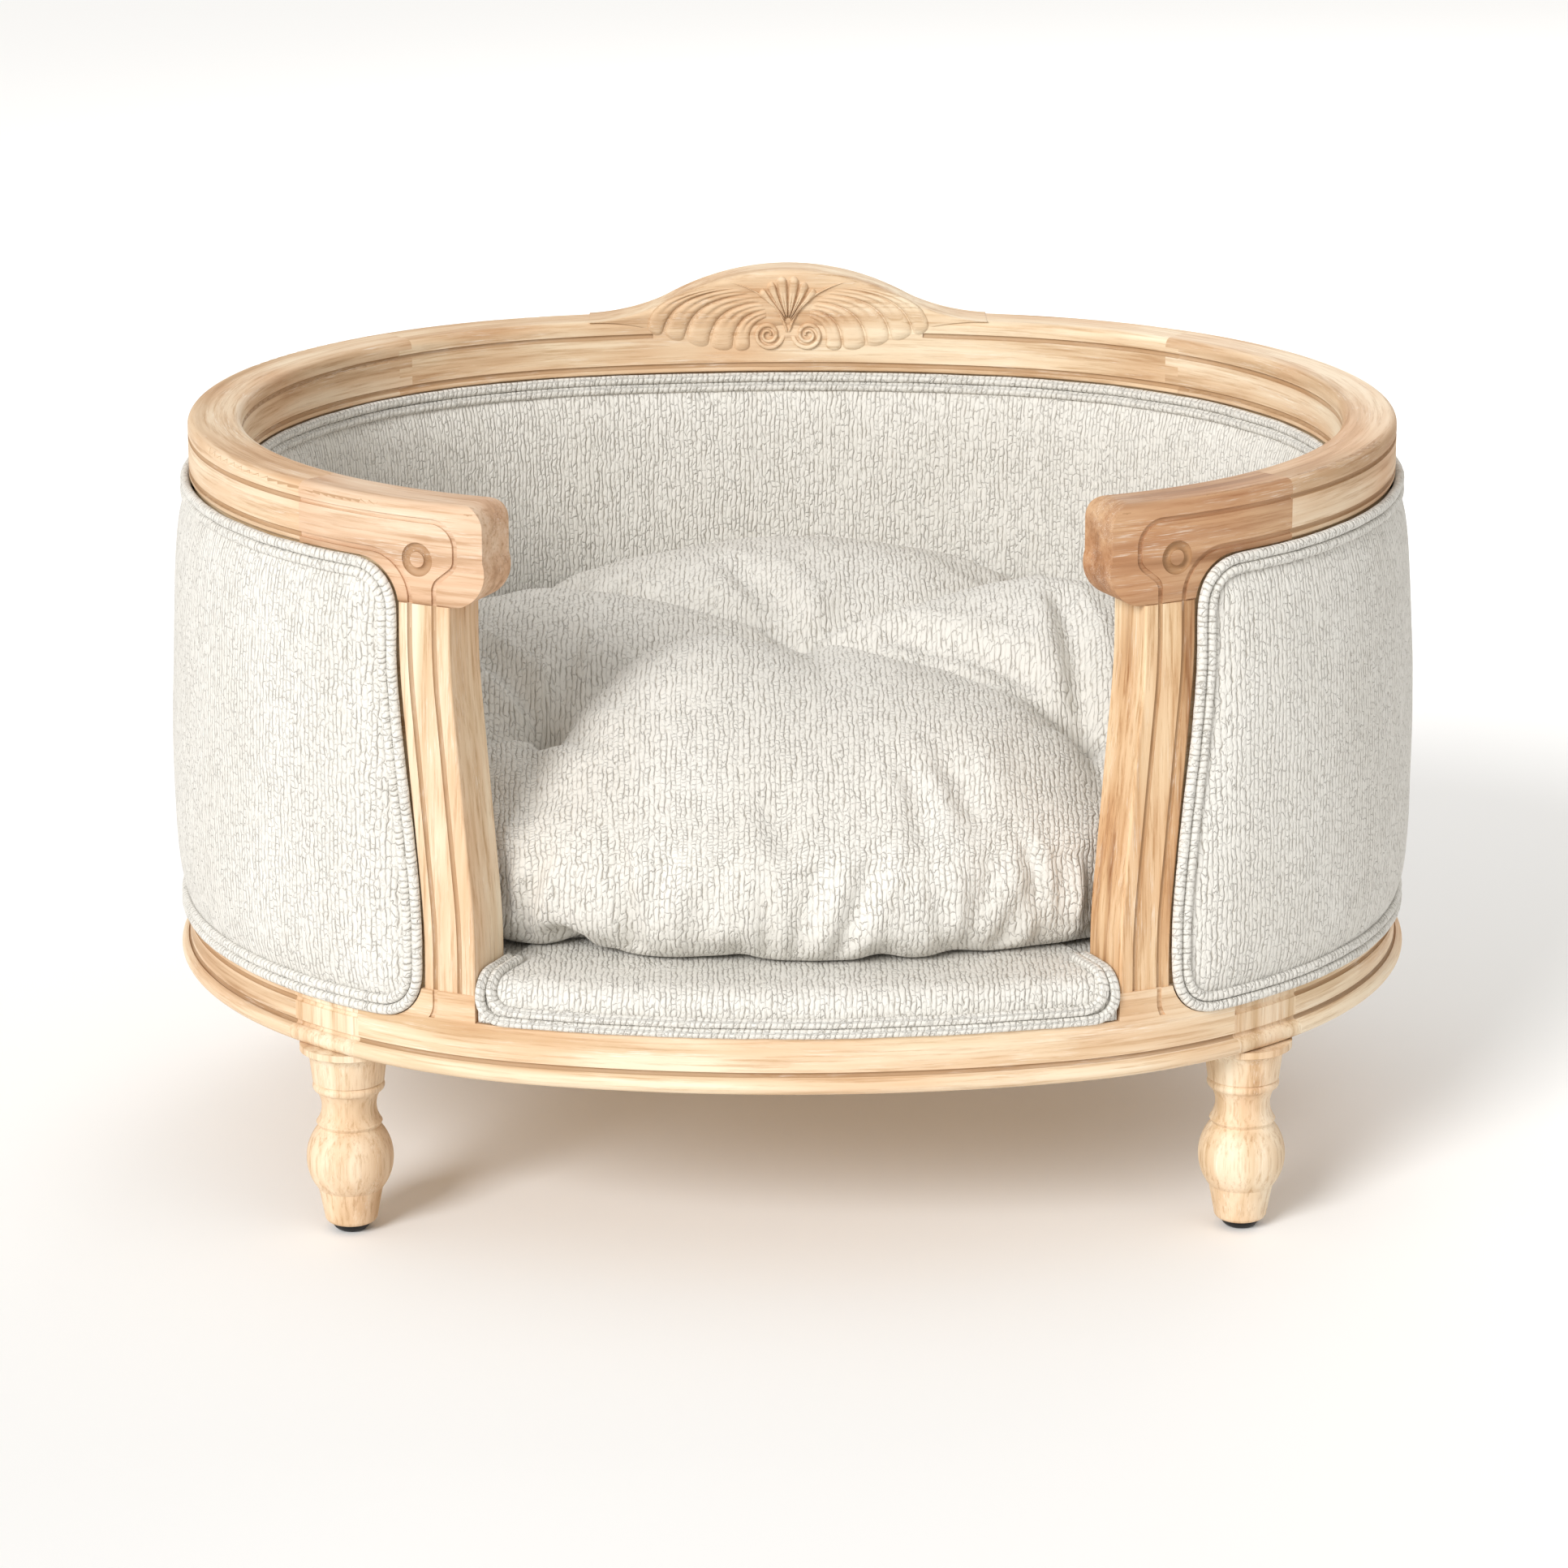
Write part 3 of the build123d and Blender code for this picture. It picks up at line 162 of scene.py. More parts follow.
class Graph:
    """Short hand for the shader nodes of one material."""

    def __init__(self, name, color, roughness, specular=0.25):
        self.material = bpy.data.materials.new(name)
        self.material.use_nodes = True
        self.tree = self.material.node_tree
        self.shader = self.tree.nodes["Principled BSDF"]
        self.shader.inputs["Base Color"].default_value = opaque(color)
        self.shader.inputs["Roughness"].default_value = roughness
        self.shader.inputs["Specular IOR Level"].default_value = specular

    def node(self, kind, inputs=None, **settings):
        item = self.tree.nodes.new(kind)
        for key, value in settings.items():
            setattr(item, key, value)
        for key, value in (inputs or {}).items():
            if isinstance(value, bpy.types.NodeSocket):
                self.tree.links.new(value, item.inputs[key])
            else:
                item.inputs[key].default_value = value
        return item

    def math(self, operation, a, b=0.0):
        return self.node("ShaderNodeMath", {0: a, 1: b}, operation=operation).outputs[0]

    def plus(self, a, b):
        return self.math("ADD", a, b)

    def minus(self, a, b):
        return self.math("SUBTRACT", a, b)

    def times(self, a, b):
        return self.math("MULTIPLY", a, b)

    def attribute(self, name, output):
        return self.node("ShaderNodeAttribute", attribute_name=name).outputs[output]

    def noise(self, vector, stretch, detail, roughness=0.6):
        mapped = self.node("ShaderNodeMapping", {"Vector": vector, "Scale": stretch}).outputs[0]
        return self.node(
            "ShaderNodeTexNoise",
            {"Vector": mapped, "Scale": 1.0, "Detail": detail, "Roughness": roughness},
        ).outputs["Fac"]

    def ramp(self, fac, stops):
        item = self.node("ShaderNodeValToRGB", {"Fac": fac})
        ramp = item.color_ramp
        while len(ramp.elements) < len(stops):
            ramp.elements.new(0.5)
        for element, (place, color) in zip(ramp.elements, stops):
            element.position = place
            element.color = opaque(color)
        return item.outputs["Color"]

    def mix(self, fac, a, b, blend="MIX"):
        inputs = {0: fac, 6: opaque(a), 7: opaque(b)}
        return self.node("ShaderNodeMix", inputs, data_type="RGBA", blend_type=blend).outputs[2]

    def bump(self, height, distance, strength):
        item = self.node("ShaderNodeBump", {"Height": height, "Distance": distance, "Strength": strength})
        self.tree.links.new(item.outputs[0], self.shader.inputs["Normal"])

    def color(self, socket):
        self.tree.links.new(socket, self.shader.inputs["Base Color"])


WOOD_STEP = (0.37, 0.11, 0.23)
BLUSH, STREAK = (0.88, 0.74, 0.64), (0.66, 0.53, 0.40)
# The dark groove tone and its share are painted shade at the bottom of grooves; the chalk is the limewash.
GROOVE_SHADE, CHALK = (0.36, 0.20, 0.09), (0.93, 0.87, 0.77)
GROOVE_SHADE_SHARE, CHALK_SHARE, GRAIN_RELIEF = 0.62, 0.6, 0.0004


def wood(name, pale, mid, dark, seed, vein=0.7):
    """Open-grained wood with a worn limewash; grain runs along the first grain coordinate."""
    g = Graph(name, mid, 0.62)
    shift = [seed * step for step in WOOD_STEP]
    where = g.node("ShaderNodeVectorMath", {0: g.attribute("grain", "Vector"), 1: shift}).outputs[0]
    bands = g.noise(where, (4, 70, 70), 3.0)
    streak = g.noise(where, (16, 420, 420), 5.0, 0.7)
    fibre = g.noise(where, (60, 1500, 1500), 3.0)
    wash = g.noise(where, (14, 90, 90), 5.0, 0.7)
    base = g.ramp(bands, [(0.32, dark), (0.47, mid), (0.62, pale)])
    blush = g.ramp(g.noise(where, (7, 16, 16), 2.0), [(0.42, WHITE), (0.68, BLUSH)])
    base = g.mix(1.0, base, blush, "MULTIPLY")
    lines = g.ramp(streak, [(0.33, STREAK), (0.50, WHITE)])
    tone = g.mix(vein, base, lines, "MULTIPLY")
    # Painted shade: faces marked at the bottom of grooves are mixed towards the dark groove tone.
    tone = g.mix(g.times(g.attribute("hollow", "Fac"), GROOVE_SHADE_SHARE), tone, GROOVE_SHADE)
    flecks = g.ramp(fibre, [(0.50, BLACK), (0.66, WHITE)])
    worn = g.ramp(wash, [(0.50, BLACK), (0.68, WHITE)])
    chalk = g.times(g.mix(1.0, flecks, worn, "MULTIPLY"), CHALK_SHARE)
    g.color(g.mix(chalk, tone, CHALK))
    g.bump(g.plus(g.times(streak, 0.6), g.times(fibre, 0.4)), GRAIN_RELIEF, 0.7)
    return g.material


RIB_SWAY, RIB_STRAY, CLOTH_RELIEF = 0.0040, 0.0030, 0.0018
CLOSED_GAP, CLOUD = (0.42, 0.42, 0.42), (0.95, 0.945, 0.935)


def cloth(name, color, shade, pitch, dash):
    """Ribbed chenille: ribs of short plump stitches, counted across the first rib coordinate."""
    g = Graph(name, color, 0.95, 0.06)
    g.shader.inputs["Sheen Weight"].default_value = 0.2
    g.shader.inputs["Sheen Roughness"].default_value = 0.5
    where = g.attribute("rib", "Vector")
    parts = g.node("ShaderNodeSeparateXYZ", {0: where}).outputs
    sway = g.minus(g.noise(where, (70, 45, 45), 2.0), 0.5)
    stray = g.minus(g.noise(where, (260, 160, 160), 2.0), 0.5)
    across = g.plus(parts[0], g.times(sway, RIB_SWAY))
    across = g.plus(across, g.times(stray, RIB_STRAY))
    along = g.plus(parts[1], parts[2])
    rib = g.math("DIVIDE", across, pitch)
    row = g.math("FLOOR", rib)
    pick = g.node("ShaderNodeTexWhiteNoise", {"W": row}, noise_dimensions="1D").outputs["Value"]
    stitch = g.math("DIVIDE", along, g.times(g.plus(pick, 0.6), dash))
    stitch = g.plus(stitch, g.plus(g.times(pick, 7.0), g.times(stray, 2.0)))
    pair = g.node("ShaderNodeCombineXYZ", {0: row, 1: g.math("FLOOR", stitch)}).outputs[0]
    chance = g.node("ShaderNodeTexWhiteNoise", {"Vector": pair}, noise_dimensions="2D").outputs["Value"]

    def edge(value, power):
        """Rises from 0 in the middle of a rib or stitch to 1 at its edges."""
        centred = g.minus(g.times(g.math("FRACT", value), 2.0), 1.0)
        return g.math("POWER", g.math("ABSOLUTE", centred), power)

    open_gap = g.ramp(g.noise(where, (330, 120, 120), 2.0), [(0.36, CLOSED_GAP), (0.60, WHITE)])
    parting = g.plus(g.times(chance, 0.7), 0.25)
    gap = g.math("MAXIMUM", g.times(edge(rib, 2.4), open_gap), g.times(edge(stitch, 5.0), parting))
    plump = g.times(g.minus(1.0, gap), g.plus(g.times(chance, 0.35), 0.70))
    pile = g.noise(where, (900, 500, 500), 3.0, 0.7)
    height = g.plus(g.times(plump, 0.75), g.times(pile, 0.35))
    tone = g.ramp(height, [(0.22, shade), (0.60, color)])
    cloudy = g.ramp(g.noise(where, (18, 9, 9), 3.0), [(0.35, CLOUD), (0.65, WHITE)])
    g.color(g.mix(1.0, tone, cloudy, "MULTIPLY"))
    g.bump(height, CLOTH_RELIEF, 0.75)
    return g.material


OAK_PALE = wood("oak_pale", (0.86, 0.73, 0.55), (0.77, 0.60, 0.41), (0.63, 0.45, 0.27), 1)
OAK_SIDE = wood("oak_side", (0.83, 0.68, 0.50), (0.72, 0.53, 0.35), (0.54, 0.36, 0.21), 2)
OAK_BACK = wood("oak_back", (0.85, 0.71, 0.52), (0.75, 0.57, 0.38), (0.58, 0.39, 0.23), 3)
OAK_ROSE = wood("oak_rose", (0.79, 0.62, 0.46), (0.69, 0.49, 0.335), (0.52, 0.34, 0.21), 6)
OAK_DARK = wood("oak_dark", (0.60, 0.38, 0.22), (0.48, 0.275, 0.15), (0.34, 0.18, 0.09), 4)
OAK_VEINED = wood("oak_veined", (0.83, 0.64, 0.42), (0.69, 0.47, 0.27), (0.36, 0.19, 0.09), 8, 1.0)
SOFTWOOD = wood("softwood", (0.76, 0.60, 0.39), (0.68, 0.51, 0.31), (0.52, 0.36, 0.20), 5)
CLOTH_SHADE = (0.41, 0.375, 0.32)
CHENILLE = cloth("chenille", (0.775, 0.753, 0.702), CLOTH_SHADE, 0.0029, 0.0056)
WELT = cloth("welt_cloth", (0.785, 0.763, 0.712), CLOTH_SHADE, 0.0034, 0.008)
GLIDE = Graph("glide_plastic", (0.012, 0.012, 0.012), 0.45).material
STEEL = Graph("steel", (0.55, 0.54, 0.52), 0.35).material
STEEL.node_tree.nodes["Principled BSDF"].inputs["Metallic"].default_value = 1.0
TWINE = Graph("twine", (0.55, 0.43, 0.28), 0.9).material
TAPE = Graph("zip_cloth", (0.78, 0.74, 0.67), 0.9).material

# Looks of the solids that stay in sight, or behind what is in sight

# Width and turn of the groove faces that get painted shade, and how many times the marks grow.
HOLLOW_WIDTH, HOLLOW_TURN, HOLLOW_GROWTH = 0.0024, 0.08, 2
SHARP_EDGE = math.radians(28)


def lengthwise(p):
    run, offset = OVAL.run_of(p)
    return np.stack([run, offset, p[:, 2]], -1)


def crosswise(p):
    """Grain of pieces that span the middle of the front, where the run turns over."""
    return np.stack([p[:, 0], OVAL.run_of(p)[1], p[:, 2]], -1)


def upright(p):
    return np.stack([p[:, 2], p[:, 0], p[:, 1]], -1)


def straight(p):
    return p


def mark_shaded_grooves(mesh):
    """Mark the narrow faces at the bottom of grooves, which get painted shade."""
    shape = bmesh.new()
    shape.from_mesh(mesh)
    narrow, hollow = set(), set()
    for face in shape.faces:
        longest = max(edge.calc_length() for edge in face.edges)
        if 2 * face.calc_area() < HOLLOW_WIDTH * longest:
            narrow.add(face)
            if any(edge.calc_face_angle_signed(0) < -HOLLOW_TURN for edge in face.edges):
                hollow.add(face)
    for _ in range(HOLLOW_GROWTH):
        beside = {other for face in hollow for edge in face.edges for other in edge.link_faces
                  if edge.calc_face_angle_signed(0) < HOLLOW_TURN}
        hollow |= beside & narrow
    marks = [face in hollow for face in shape.faces]
    shape.free()
    set_groove_shade(mesh, "FACE", marks)


def finish_node(name, material, grain=lengthwise, shade_grooves=False):
    mesh = nodes[name].data
    # Grooved pieces get painted shade at the bottom of their grooves.
    if shade_grooves:
        mark_shaded_grooves(mesh)
    set_attribute(mesh, "grain", grain(coords(mesh)))
    mesh.materials.clear()
    mesh.materials.append(material)
    mesh.polygons.foreach_set("use_smooth", [True] * len(mesh.polygons))
    mesh.set_sharp_from_angle(angle=SHARP_EDGE)


for name, material in (
    ("crest_rail", OAK_BACK), ("top_rail_left", OAK_SIDE), ("top_rail_right", OAK_SIDE),
    ("arm_left", OAK_ROSE), ("arm_right", OAK_DARK), ("back_rail", OAK_SIDE),
    ("side_rail_left", OAK_SIDE), ("side_rail_right", OAK_PALE),
):
    finish_node(name, material, shade_grooves=True)
finish_node("front_rail", OAK_PALE, crosswise, True)
finish_node("front_post_left", OAK_PALE, upright, True)
finish_node("front_post_right", OAK_VEINED, upright, True)
for name in ("deck_cleats", "outer_lining", "inner_lining", "dowels"):
    finish_node(name, SOFTWOOD)
finish_node("deck_board", SOFTWOOD, straight)
for place in ("front_left", "front_right", "back_left", "back_right"):
    finish_node("leg_" + place, OAK_PALE, upright)
    finish_node("glide_" + place, GLIDE, upright)
for name in ("stud_side_left", "stud_side_right", "stud_back_left", "stud_back_right"):
    finish_node(name, SOFTWOOD, upright)
for name in ("glide_nails", "deck_screws", "zip_slider"):
    finish_node(name, STEEL, upright)
finish_node("zip_tapes", TAPE, upright)

# Upholstery of the wall. Faces are offsets from the oval; the edge at the post is measured across it.

LINING_FACE, WALL_LEAN, INNER_FACE = -0.003, 0.006, -0.027
SWAY_TOP, SWAY_FOOT, SWAY_EASE = 0.343, 0.194, 3.2
EDGE_TOP, EDGE_SWAY = -0.02325, 0.0152
NEAR_POST, FAR = -0.3, 1.0
CORNER = 0.026
TOP_GAP, PANEL_TRIM, PANEL_CLOTH = 0.0005, 0.0018, 0.0016
# Lift of the sewn edge, and of the wadding all over and at half height
SEW_LIFT, SEW_STRIP, PUFF_REACH = 0.0022, 0.0095, 0.011
OUTER_PUFF, INNER_PUFF = (0.0050, 0.0040), (0.0070, 0.0020)
BROAD_SLACK, FINE_SLACK = 0.0011, 0.00045
PUCKER, PUCKER_PITCH, PUCKER_REACH = 0.00045, 0.021, 0.018
DECK_LAP = 0.0045


def wall_base(z):
    """Offset of the outer lining's face, which leans out towards the floor."""
    return LINING_FACE + WALL_LEAN * (PANEL_TOP - z) / (PANEL_TOP - PANEL_LOW)


def post_edge(z):
    """Where the panel meets the swaying post, across the post's tangent plane, eased at the bends."""
    fall = np.clip((SWAY_TOP - z) / (SWAY_TOP - SWAY_FOOT), -0.2, 1.2)
    eased = 0.5 + 0.5 * np.tanh((fall - 0.5) * SWAY_EASE) / math.tanh(SWAY_EASE / 2)
    between = 0.5 * eased + 0.5 * fall
    share = np.where(np.abs(fall - 0.5) > 0.5, fall > 0.5, between)
    return EDGE_TOP + EDGE_SWAY * np.clip(share, 0, 1)


def edge_normal(across, offset=0.0):
    return POST_ANGLE - np.arcsin(across / (OVAL.end_radius + offset))


def border_distance(normal, z, low, round_low):
    """Distance inside the panel's border, with its rounded corners at the posts."""
    turn = np.where(np.cos(normal) < 0, math.pi - normal, normal)
    across = OVAL.end_radius * np.sin(POST_ANGLE - turn)
    side = np.where(turn <= NEAR_POST, post_edge(z) - across, FAR)
    top = PANEL_TOP - z
    base = z - low
    distance = np.minimum(np.minimum(side, top), base)
    gap_side = np.maximum(CORNER - side, 0)
    for gap in (top, base) if round_low else (top,):
        rounded = CORNER - np.hypot(gap_side, np.maximum(CORNER - gap, 0))
        distance = np.where((side < CORNER) & (gap < CORNER), rounded, distance)
    return distance


def wall_panel(name, low, sign, columns=420, rows=84):
    """Puffed cloth over wadding between the posts; sign is 1 outside and -1 inside."""
    z = np.linspace(low, PANEL_TOP - TOP_GAP, rows)[:, None] * np.ones((1, columns))
    first = edge_normal(post_edge(z))
    share = np.linspace(0, 1, columns)[None, :]
    normal = first + (math.pi - 2 * first) * share
    inside = border_distance(normal, z, low, sign > 0)
    puff = 1 - np.exp(-np.maximum(inside - SEW_STRIP, 0) / PUFF_REACH)
    middle = (low + PANEL_TOP) / 2
    bulge = 1 - ((z - middle) / (PANEL_TOP - low) * 2) ** 2
    full, crown = OUTER_PUFF if sign > 0 else INNER_PUFF
    base = wall_base(z) if sign > 0 else np.full_like(z, INNER_FACE)
    lift = SEW_LIFT + full * puff + crown * bulge * puff
    points = OVAL.point(normal, base, z).reshape(-1, 3)
    slack = wobble(points, 7.0, 2 + sign) * BROAD_SLACK
    slack = slack + wobble(points * [1, 1, 0.45], 30.0, 5 + sign) * FINE_SLACK
    pucker = np.sin(wobble(points, 18.0, 8) * 2 + OVAL.run_of(points)[0] * 2 * math.pi / PUCKER_PITCH)
    slack = slack + PUCKER * pucker * np.exp(-inside.ravel() / PUCKER_REACH)
    lift = lift + slack.reshape(z.shape) * puff
    points = OVAL.point(normal, base + sign * lift, z).reshape(-1, 3)
    keep = (inside > PANEL_TRIM).ravel()
    faces = grid_faces(rows, columns)
    faces = faces[keep[faces].all(1)]
    if sign > 0:
        faces = faces[:, ::-1]
    obj = mesh_object(name, points, faces)
    set_attribute(obj.data, "rib", np.stack([OVAL.run_of(points)[0], base.ravel(), points[:, 2]], -1))
    clean = bmesh.new()
    clean.from_mesh(obj.data)
    bmesh.ops.delete(clean, geom=[v for v in clean.verts if not v.link_faces], context="VERTS")
    clean.to_mesh(obj.data)
    clean.free()
    thicken(obj, PANEL_CLOTH)
    obj.data.materials.append(CHENILLE)
    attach(obj, "frame")
    return obj


outer_panel = wall_panel("outer_upholstery", PANEL_LOW, 1)
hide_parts("outer_cover", "outer_padding")
inner_panel = wall_panel("inner_upholstery", DECK_TOP - DECK_LAP, -1)
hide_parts("inner_cover", "inner_padding")

# Double welts: two cords side by side, sewn on at two insets from a panel's border

CORD, CORD_SIDES = 0.0029, 12
INSETS = (0.0030, 0.0089)
OUTER_REST, INNER_REST, INNER_FOOT = 0.0053, -0.0325, 0.003
LUMP, LUMP_SCALE, RIB_TILT = 0.06, 110.0, 0.0006
WANDER, WANDER_SCALE = 0.0003, 25.0
RUN_STEPS, TURN_STEPS, RISE_STEPS = 160, 16, 60
BORDER_STEP = 0.004


def run_along(points):
    return np.concatenate([[0], np.cumsum(np.linalg.norm(np.diff(points, axis=0), axis=1))])


def resample(points, step):
    points = np.asarray(points, float)
    run = run_along(points)
    places = np.linspace(0, run[-1], max(2, int(run[-1] / step)))
    return np.stack([np.interp(places, run, points[:, k]) for k in range(3)], -1)


def smooth_line(points, rounds):
    for _ in range(rounds):
        points[1:-1] = (points[:-2] + 2 * points[1:-1] + points[2:]) / 4
    return points


def with_mirror(half):
    """A line from one side to the other, from its right half."""
    return np.concatenate([half[::-1] * [-1, 1, 1], half[1:]])


def wandering(line, seed):
    """A sewn line with the small wander of handwork."""
    return line + WANDER * np.stack([wobble(line, WANDER_SCALE, seed + k, 2) for k in range(3)], -1)


def tube(points, radius, sides, seed):
    """Vertices, faces and rib coordinates of a round cord along points."""
    ahead = np.gradient(points, axis=0)
    ahead /= np.linalg.norm(ahead, axis=1)[:, None]
    normal = np.zeros_like(points)
    guess = np.array([0.3, 0.2, 1.0])
    for k in range(len(points)):
        guess = guess - ahead[k] * (guess @ ahead[k])
        guess = guess / np.linalg.norm(guess)
        normal[k] = guess
    other = np.cross(ahead, normal)
    turn = np.linspace(0, 2 * math.pi, sides, endpoint=False)
    lumps = 1 + LUMP * wobble(points, LUMP_SCALE, seed, 2)
    ring = np.cos(turn)[None, :, None] * normal[:, None] + np.sin(turn)[None, :, None] * other[:, None]
    vertices = points[:, None] + ring * (radius * lumps)[:, None, None]
    rib = np.zeros((len(points), sides, 3))
    rib[:, :, 0] = run_along(points)[:, None] + RIB_TILT * np.sin(turn)[None, :]
    rib[:, :, 1] = turn[None, :] * radius
    return vertices.reshape(-1, 3), closed_faces(len(points), sides), rib.reshape(-1, 3)


def cord_object(name, lines, replaced):
    """One piece of welt from several cords side by side."""
    tubes = [tube(line, CORD, CORD_SIDES, k + len(name)) for k, line in enumerate(lines)]
    vertices, faces = joined([(v, f) for v, f, _ in tubes])
    obj = mesh_object(name, vertices, faces)
    set_attribute(obj.data, "rib", np.concatenate([rib for _, _, rib in tubes]))
    obj.data.materials.append(WELT)
    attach(obj, "frame")
    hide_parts(replaced)


def half_border(inset, low, rest, turn_low):
    """Right half of a panel's border at an inset, from the middle of the back."""
    radius = CORNER - inset
    top = PANEL_TOP - inset
    edge = post_edge(top) - inset
    corner = edge_normal(edge - radius, rest(top))
    spots = [(n, top) for n in np.linspace(math.pi / 2, corner, RUN_STEPS)]
    quarter = np.linspace(0, math.pi / 2, TURN_STEPS)[1:]
    for angle in quarter:
        z = top - radius + radius * math.cos(angle)
        across = post_edge(z) - inset - radius + radius * math.sin(angle)
        spots.append((edge_normal(across, rest(z)), z))
    foot = low + inset + radius if turn_low else low
    for z in np.linspace(top - radius, foot, RISE_STEPS)[1:]:
        spots.append((edge_normal(post_edge(z) - inset, rest(z)), z))
    if turn_low:
        for angle in quarter:
            z = foot - radius * math.sin(angle)
            across = post_edge(z) - inset - radius + radius * math.cos(angle)
            spots.append((edge_normal(across, rest(z)), z))
        last = spots[-1][0]
        spots += [(n, low + inset) for n in np.linspace(last, math.pi / 2, RUN_STEPS)[1:]]
    return np.array([OVAL.point(n, rest(z), z) for n, z in spots])


def border_cord(inset, low, rest, turn_low):
    line = resample(with_mirror(half_border(inset, low, rest, turn_low)), BORDER_STEP)
    return wandering(smooth_line(line, 3), 11)


cord_object(
    "outer_double_welt",
    [border_cord(inset, PANEL_LOW, lambda z: wall_base(z) + OUTER_REST, True) for inset in INSETS],
    "outer_welt",
)
cord_object(
    "inner_double_welt",
    [border_cord(inset, DECK_TOP + INNER_FOOT, lambda z: INNER_REST, False) for inset in INSETS],
    "inner_welt",
)

# Crest with its rounded edges and carving

CREST_HALF, CREST_RISE, CREST_RADIUS = 0.125, 0.030, 0.160
RAIL_THICK = 0.031
CREST_ROUND, CREST_SKIRT, SKIRT_FADE, CREST_END = 0.004, 0.0052, 0.006, 0.001


def crest_top(x):
    """Height of the bell-shaped crest: one arc over the middle, running out in two hollow ones."""
    span = (CREST_RISE**2 + CREST_HALF**2) / (2 * CREST_RISE)
    turn = CREST_HALF * CREST_RADIUS / span
    low = span - CREST_RADIUS
    x = np.abs(x)
    crown = CREST_TOP - CREST_RADIUS + np.sqrt(CREST_RADIUS**2 - np.minimum(x, turn) ** 2)
    tail = ARM_TOP + low - np.sqrt(low**2 - (CREST_HALF - np.maximum(x, turn)) ** 2)
    return np.where(x < turn, crown, tail)


def back_depth(x, offset):
    return -OVAL.side + np.sqrt((OVAL.side_radius + offset) ** 2 - x**2)


def crest():
    x = np.linspace(-CREST_HALF + CREST_END, CREST_HALF - CREST_END, 260)
    rise = crest_top(x) - ARM_TOP
    edge = np.minimum(CREST_ROUND, 0.45 * rise)
    skirt = CREST_SKIRT * np.clip(rise / SKIRT_FADE, 0, 1)
    arc = np.linspace(0, math.pi / 2, 7)
    climb = rise - edge + skirt
    rows = [(-RAIL_THICK + 0 * x, share * climb - skirt) for share in np.linspace(0, 1, 8)[:-1]]
    rows += [(-RAIL_THICK + edge * (1 - np.cos(a)), rise - edge * (1 - np.sin(a))) for a in arc]
    rows += [(-edge * (1 - np.cos(a)), rise - edge * (1 - np.sin(a))) for a in arc[::-1]]
    rows += [(0 * x, share * climb - skirt) for share in np.linspace(1, 0, 8)[1:]]
    rings = np.array([np.stack([x, back_depth(x, o), ARM_TOP + h], -1) for o, h in rows])
    vertices = rings.transpose(1, 0, 2).reshape(-1, 3)
    obj = mesh_object("crest", vertices, closed_faces(len(x), len(rows)))
    set_attribute(obj.data, "grain", lengthwise(vertices))
    obj.data.materials.append(OAK_BACK)
    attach(obj, "frame")
    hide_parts("crest_cap")


crest()

# Half of the carving, in millimetres: x from the middle and height above the top of the side rails.
# Each groove of the wing is the foot, the bend and the head of a curve.
WING = [
    ((23, -18), (26, -3), (13, 0)),
    ((34, -19), (34, 4), (13, 5)),
    ((49, -17), (48, 9), (16, 10)),
    ((64, -13), (62, 14), (22, 15)),
    ((78, -9), (74, 17), (30, 19)),
    ((88, -5), (88, 14), (48, 20)),
]
# Each lobe of the lily is its two edges, from the round tip down to the foot.
LILY = [
    (((0.2, 23.5), (0.2, 10), (0.2, 0)), ((7.5, 23), (5, 12), (0.8, 0))),
    (((7.5, 20.5), (5.5, 11), (0.8, 0)), ((13.5, 19), (8, 11), (1.2, -1))),
    (((13.5, 16.5), (8.5, 10), (1.2, -1)), ((19, 14), (9, 9), (1.6, -2))),
]
STEM, STEM_HALF = ((0.5, -10), (5, 15), (36, 23)), 1.0
VOLUTE, VOLUTE_STEPS = (12.4, -10.3), 110
# Plain field that stops the rail's groove behind the carving
FIELD, FIELD_WIDE = ((-8, -6), (38, -6), (84, -6)), 8
CARVING_SINK = 0.35
MILLIMETRES = 1000


def bend(points, count=40):
    """Quadratic curve through a foot and a head, pulled towards the point between them."""
    t = np.linspace(0, 1, count)[:, None]
    a, b, c = (np.array(point, float) for point in points)
    return a * (1 - t) ** 2 + 2 * b * t * (1 - t) + c * t**2


def leaf(one, other, height, scallop=0.0, crease=0.0, fade=0.5, line=1.0):
    """A carved leaf between two edges, round at its foot and with a groove down its middle.

    Gives its flat places, its lift and the painted shade along its edges and down its groove.
    """
    share = np.linspace(0, 1, 13)[None, :, None]
    t = np.linspace(0, 1, len(one))[:, None]
    flat = one[:, None] * (1 - share) + other[:, None] * share
    s = share[:, :, 0]
    flat[:, :, 1] -= scallop * 4 * s * (1 - s) * np.clip(1 - t / 0.3, 0, 1)
    ends = np.sqrt(np.clip(t / 0.08, 0, 1) * np.clip((1 - t) / fade, 0, 1))
    lift = height * (1 - np.abs(2 * s - 1) ** 4) * ends
    vein = np.exp(-(((s - 0.5) / 0.09) ** 2)) * np.clip((t - 0.25) / 0.3, 0, 1)
    lift *= 1 - crease * vein
    # Painted shade along the leaf's edges and down its groove.
    dark = np.maximum(line * np.abs(2 * s - 1) ** 12, crease * vein) * ends
    return flat, lift - CARVING_SINK, dark


def volute():
    """Outer and inner edge of the scroll beside the lily's foot."""
    angle = np.linspace(math.pi, 5.2 * math.pi, VOLUTE_STEPS)
    share = np.linspace(0, 1, VOLUTE_STEPS)
    reach, wide = 11.2 - 9.0 * share**0.85, 3.4 - 1.6 * share
    ray = np.stack([np.cos(angle), np.sin(angle)], -1)
    return VOLUTE + ray * reach[:, None], VOLUTE + ray * (reach - wide)[:, None]


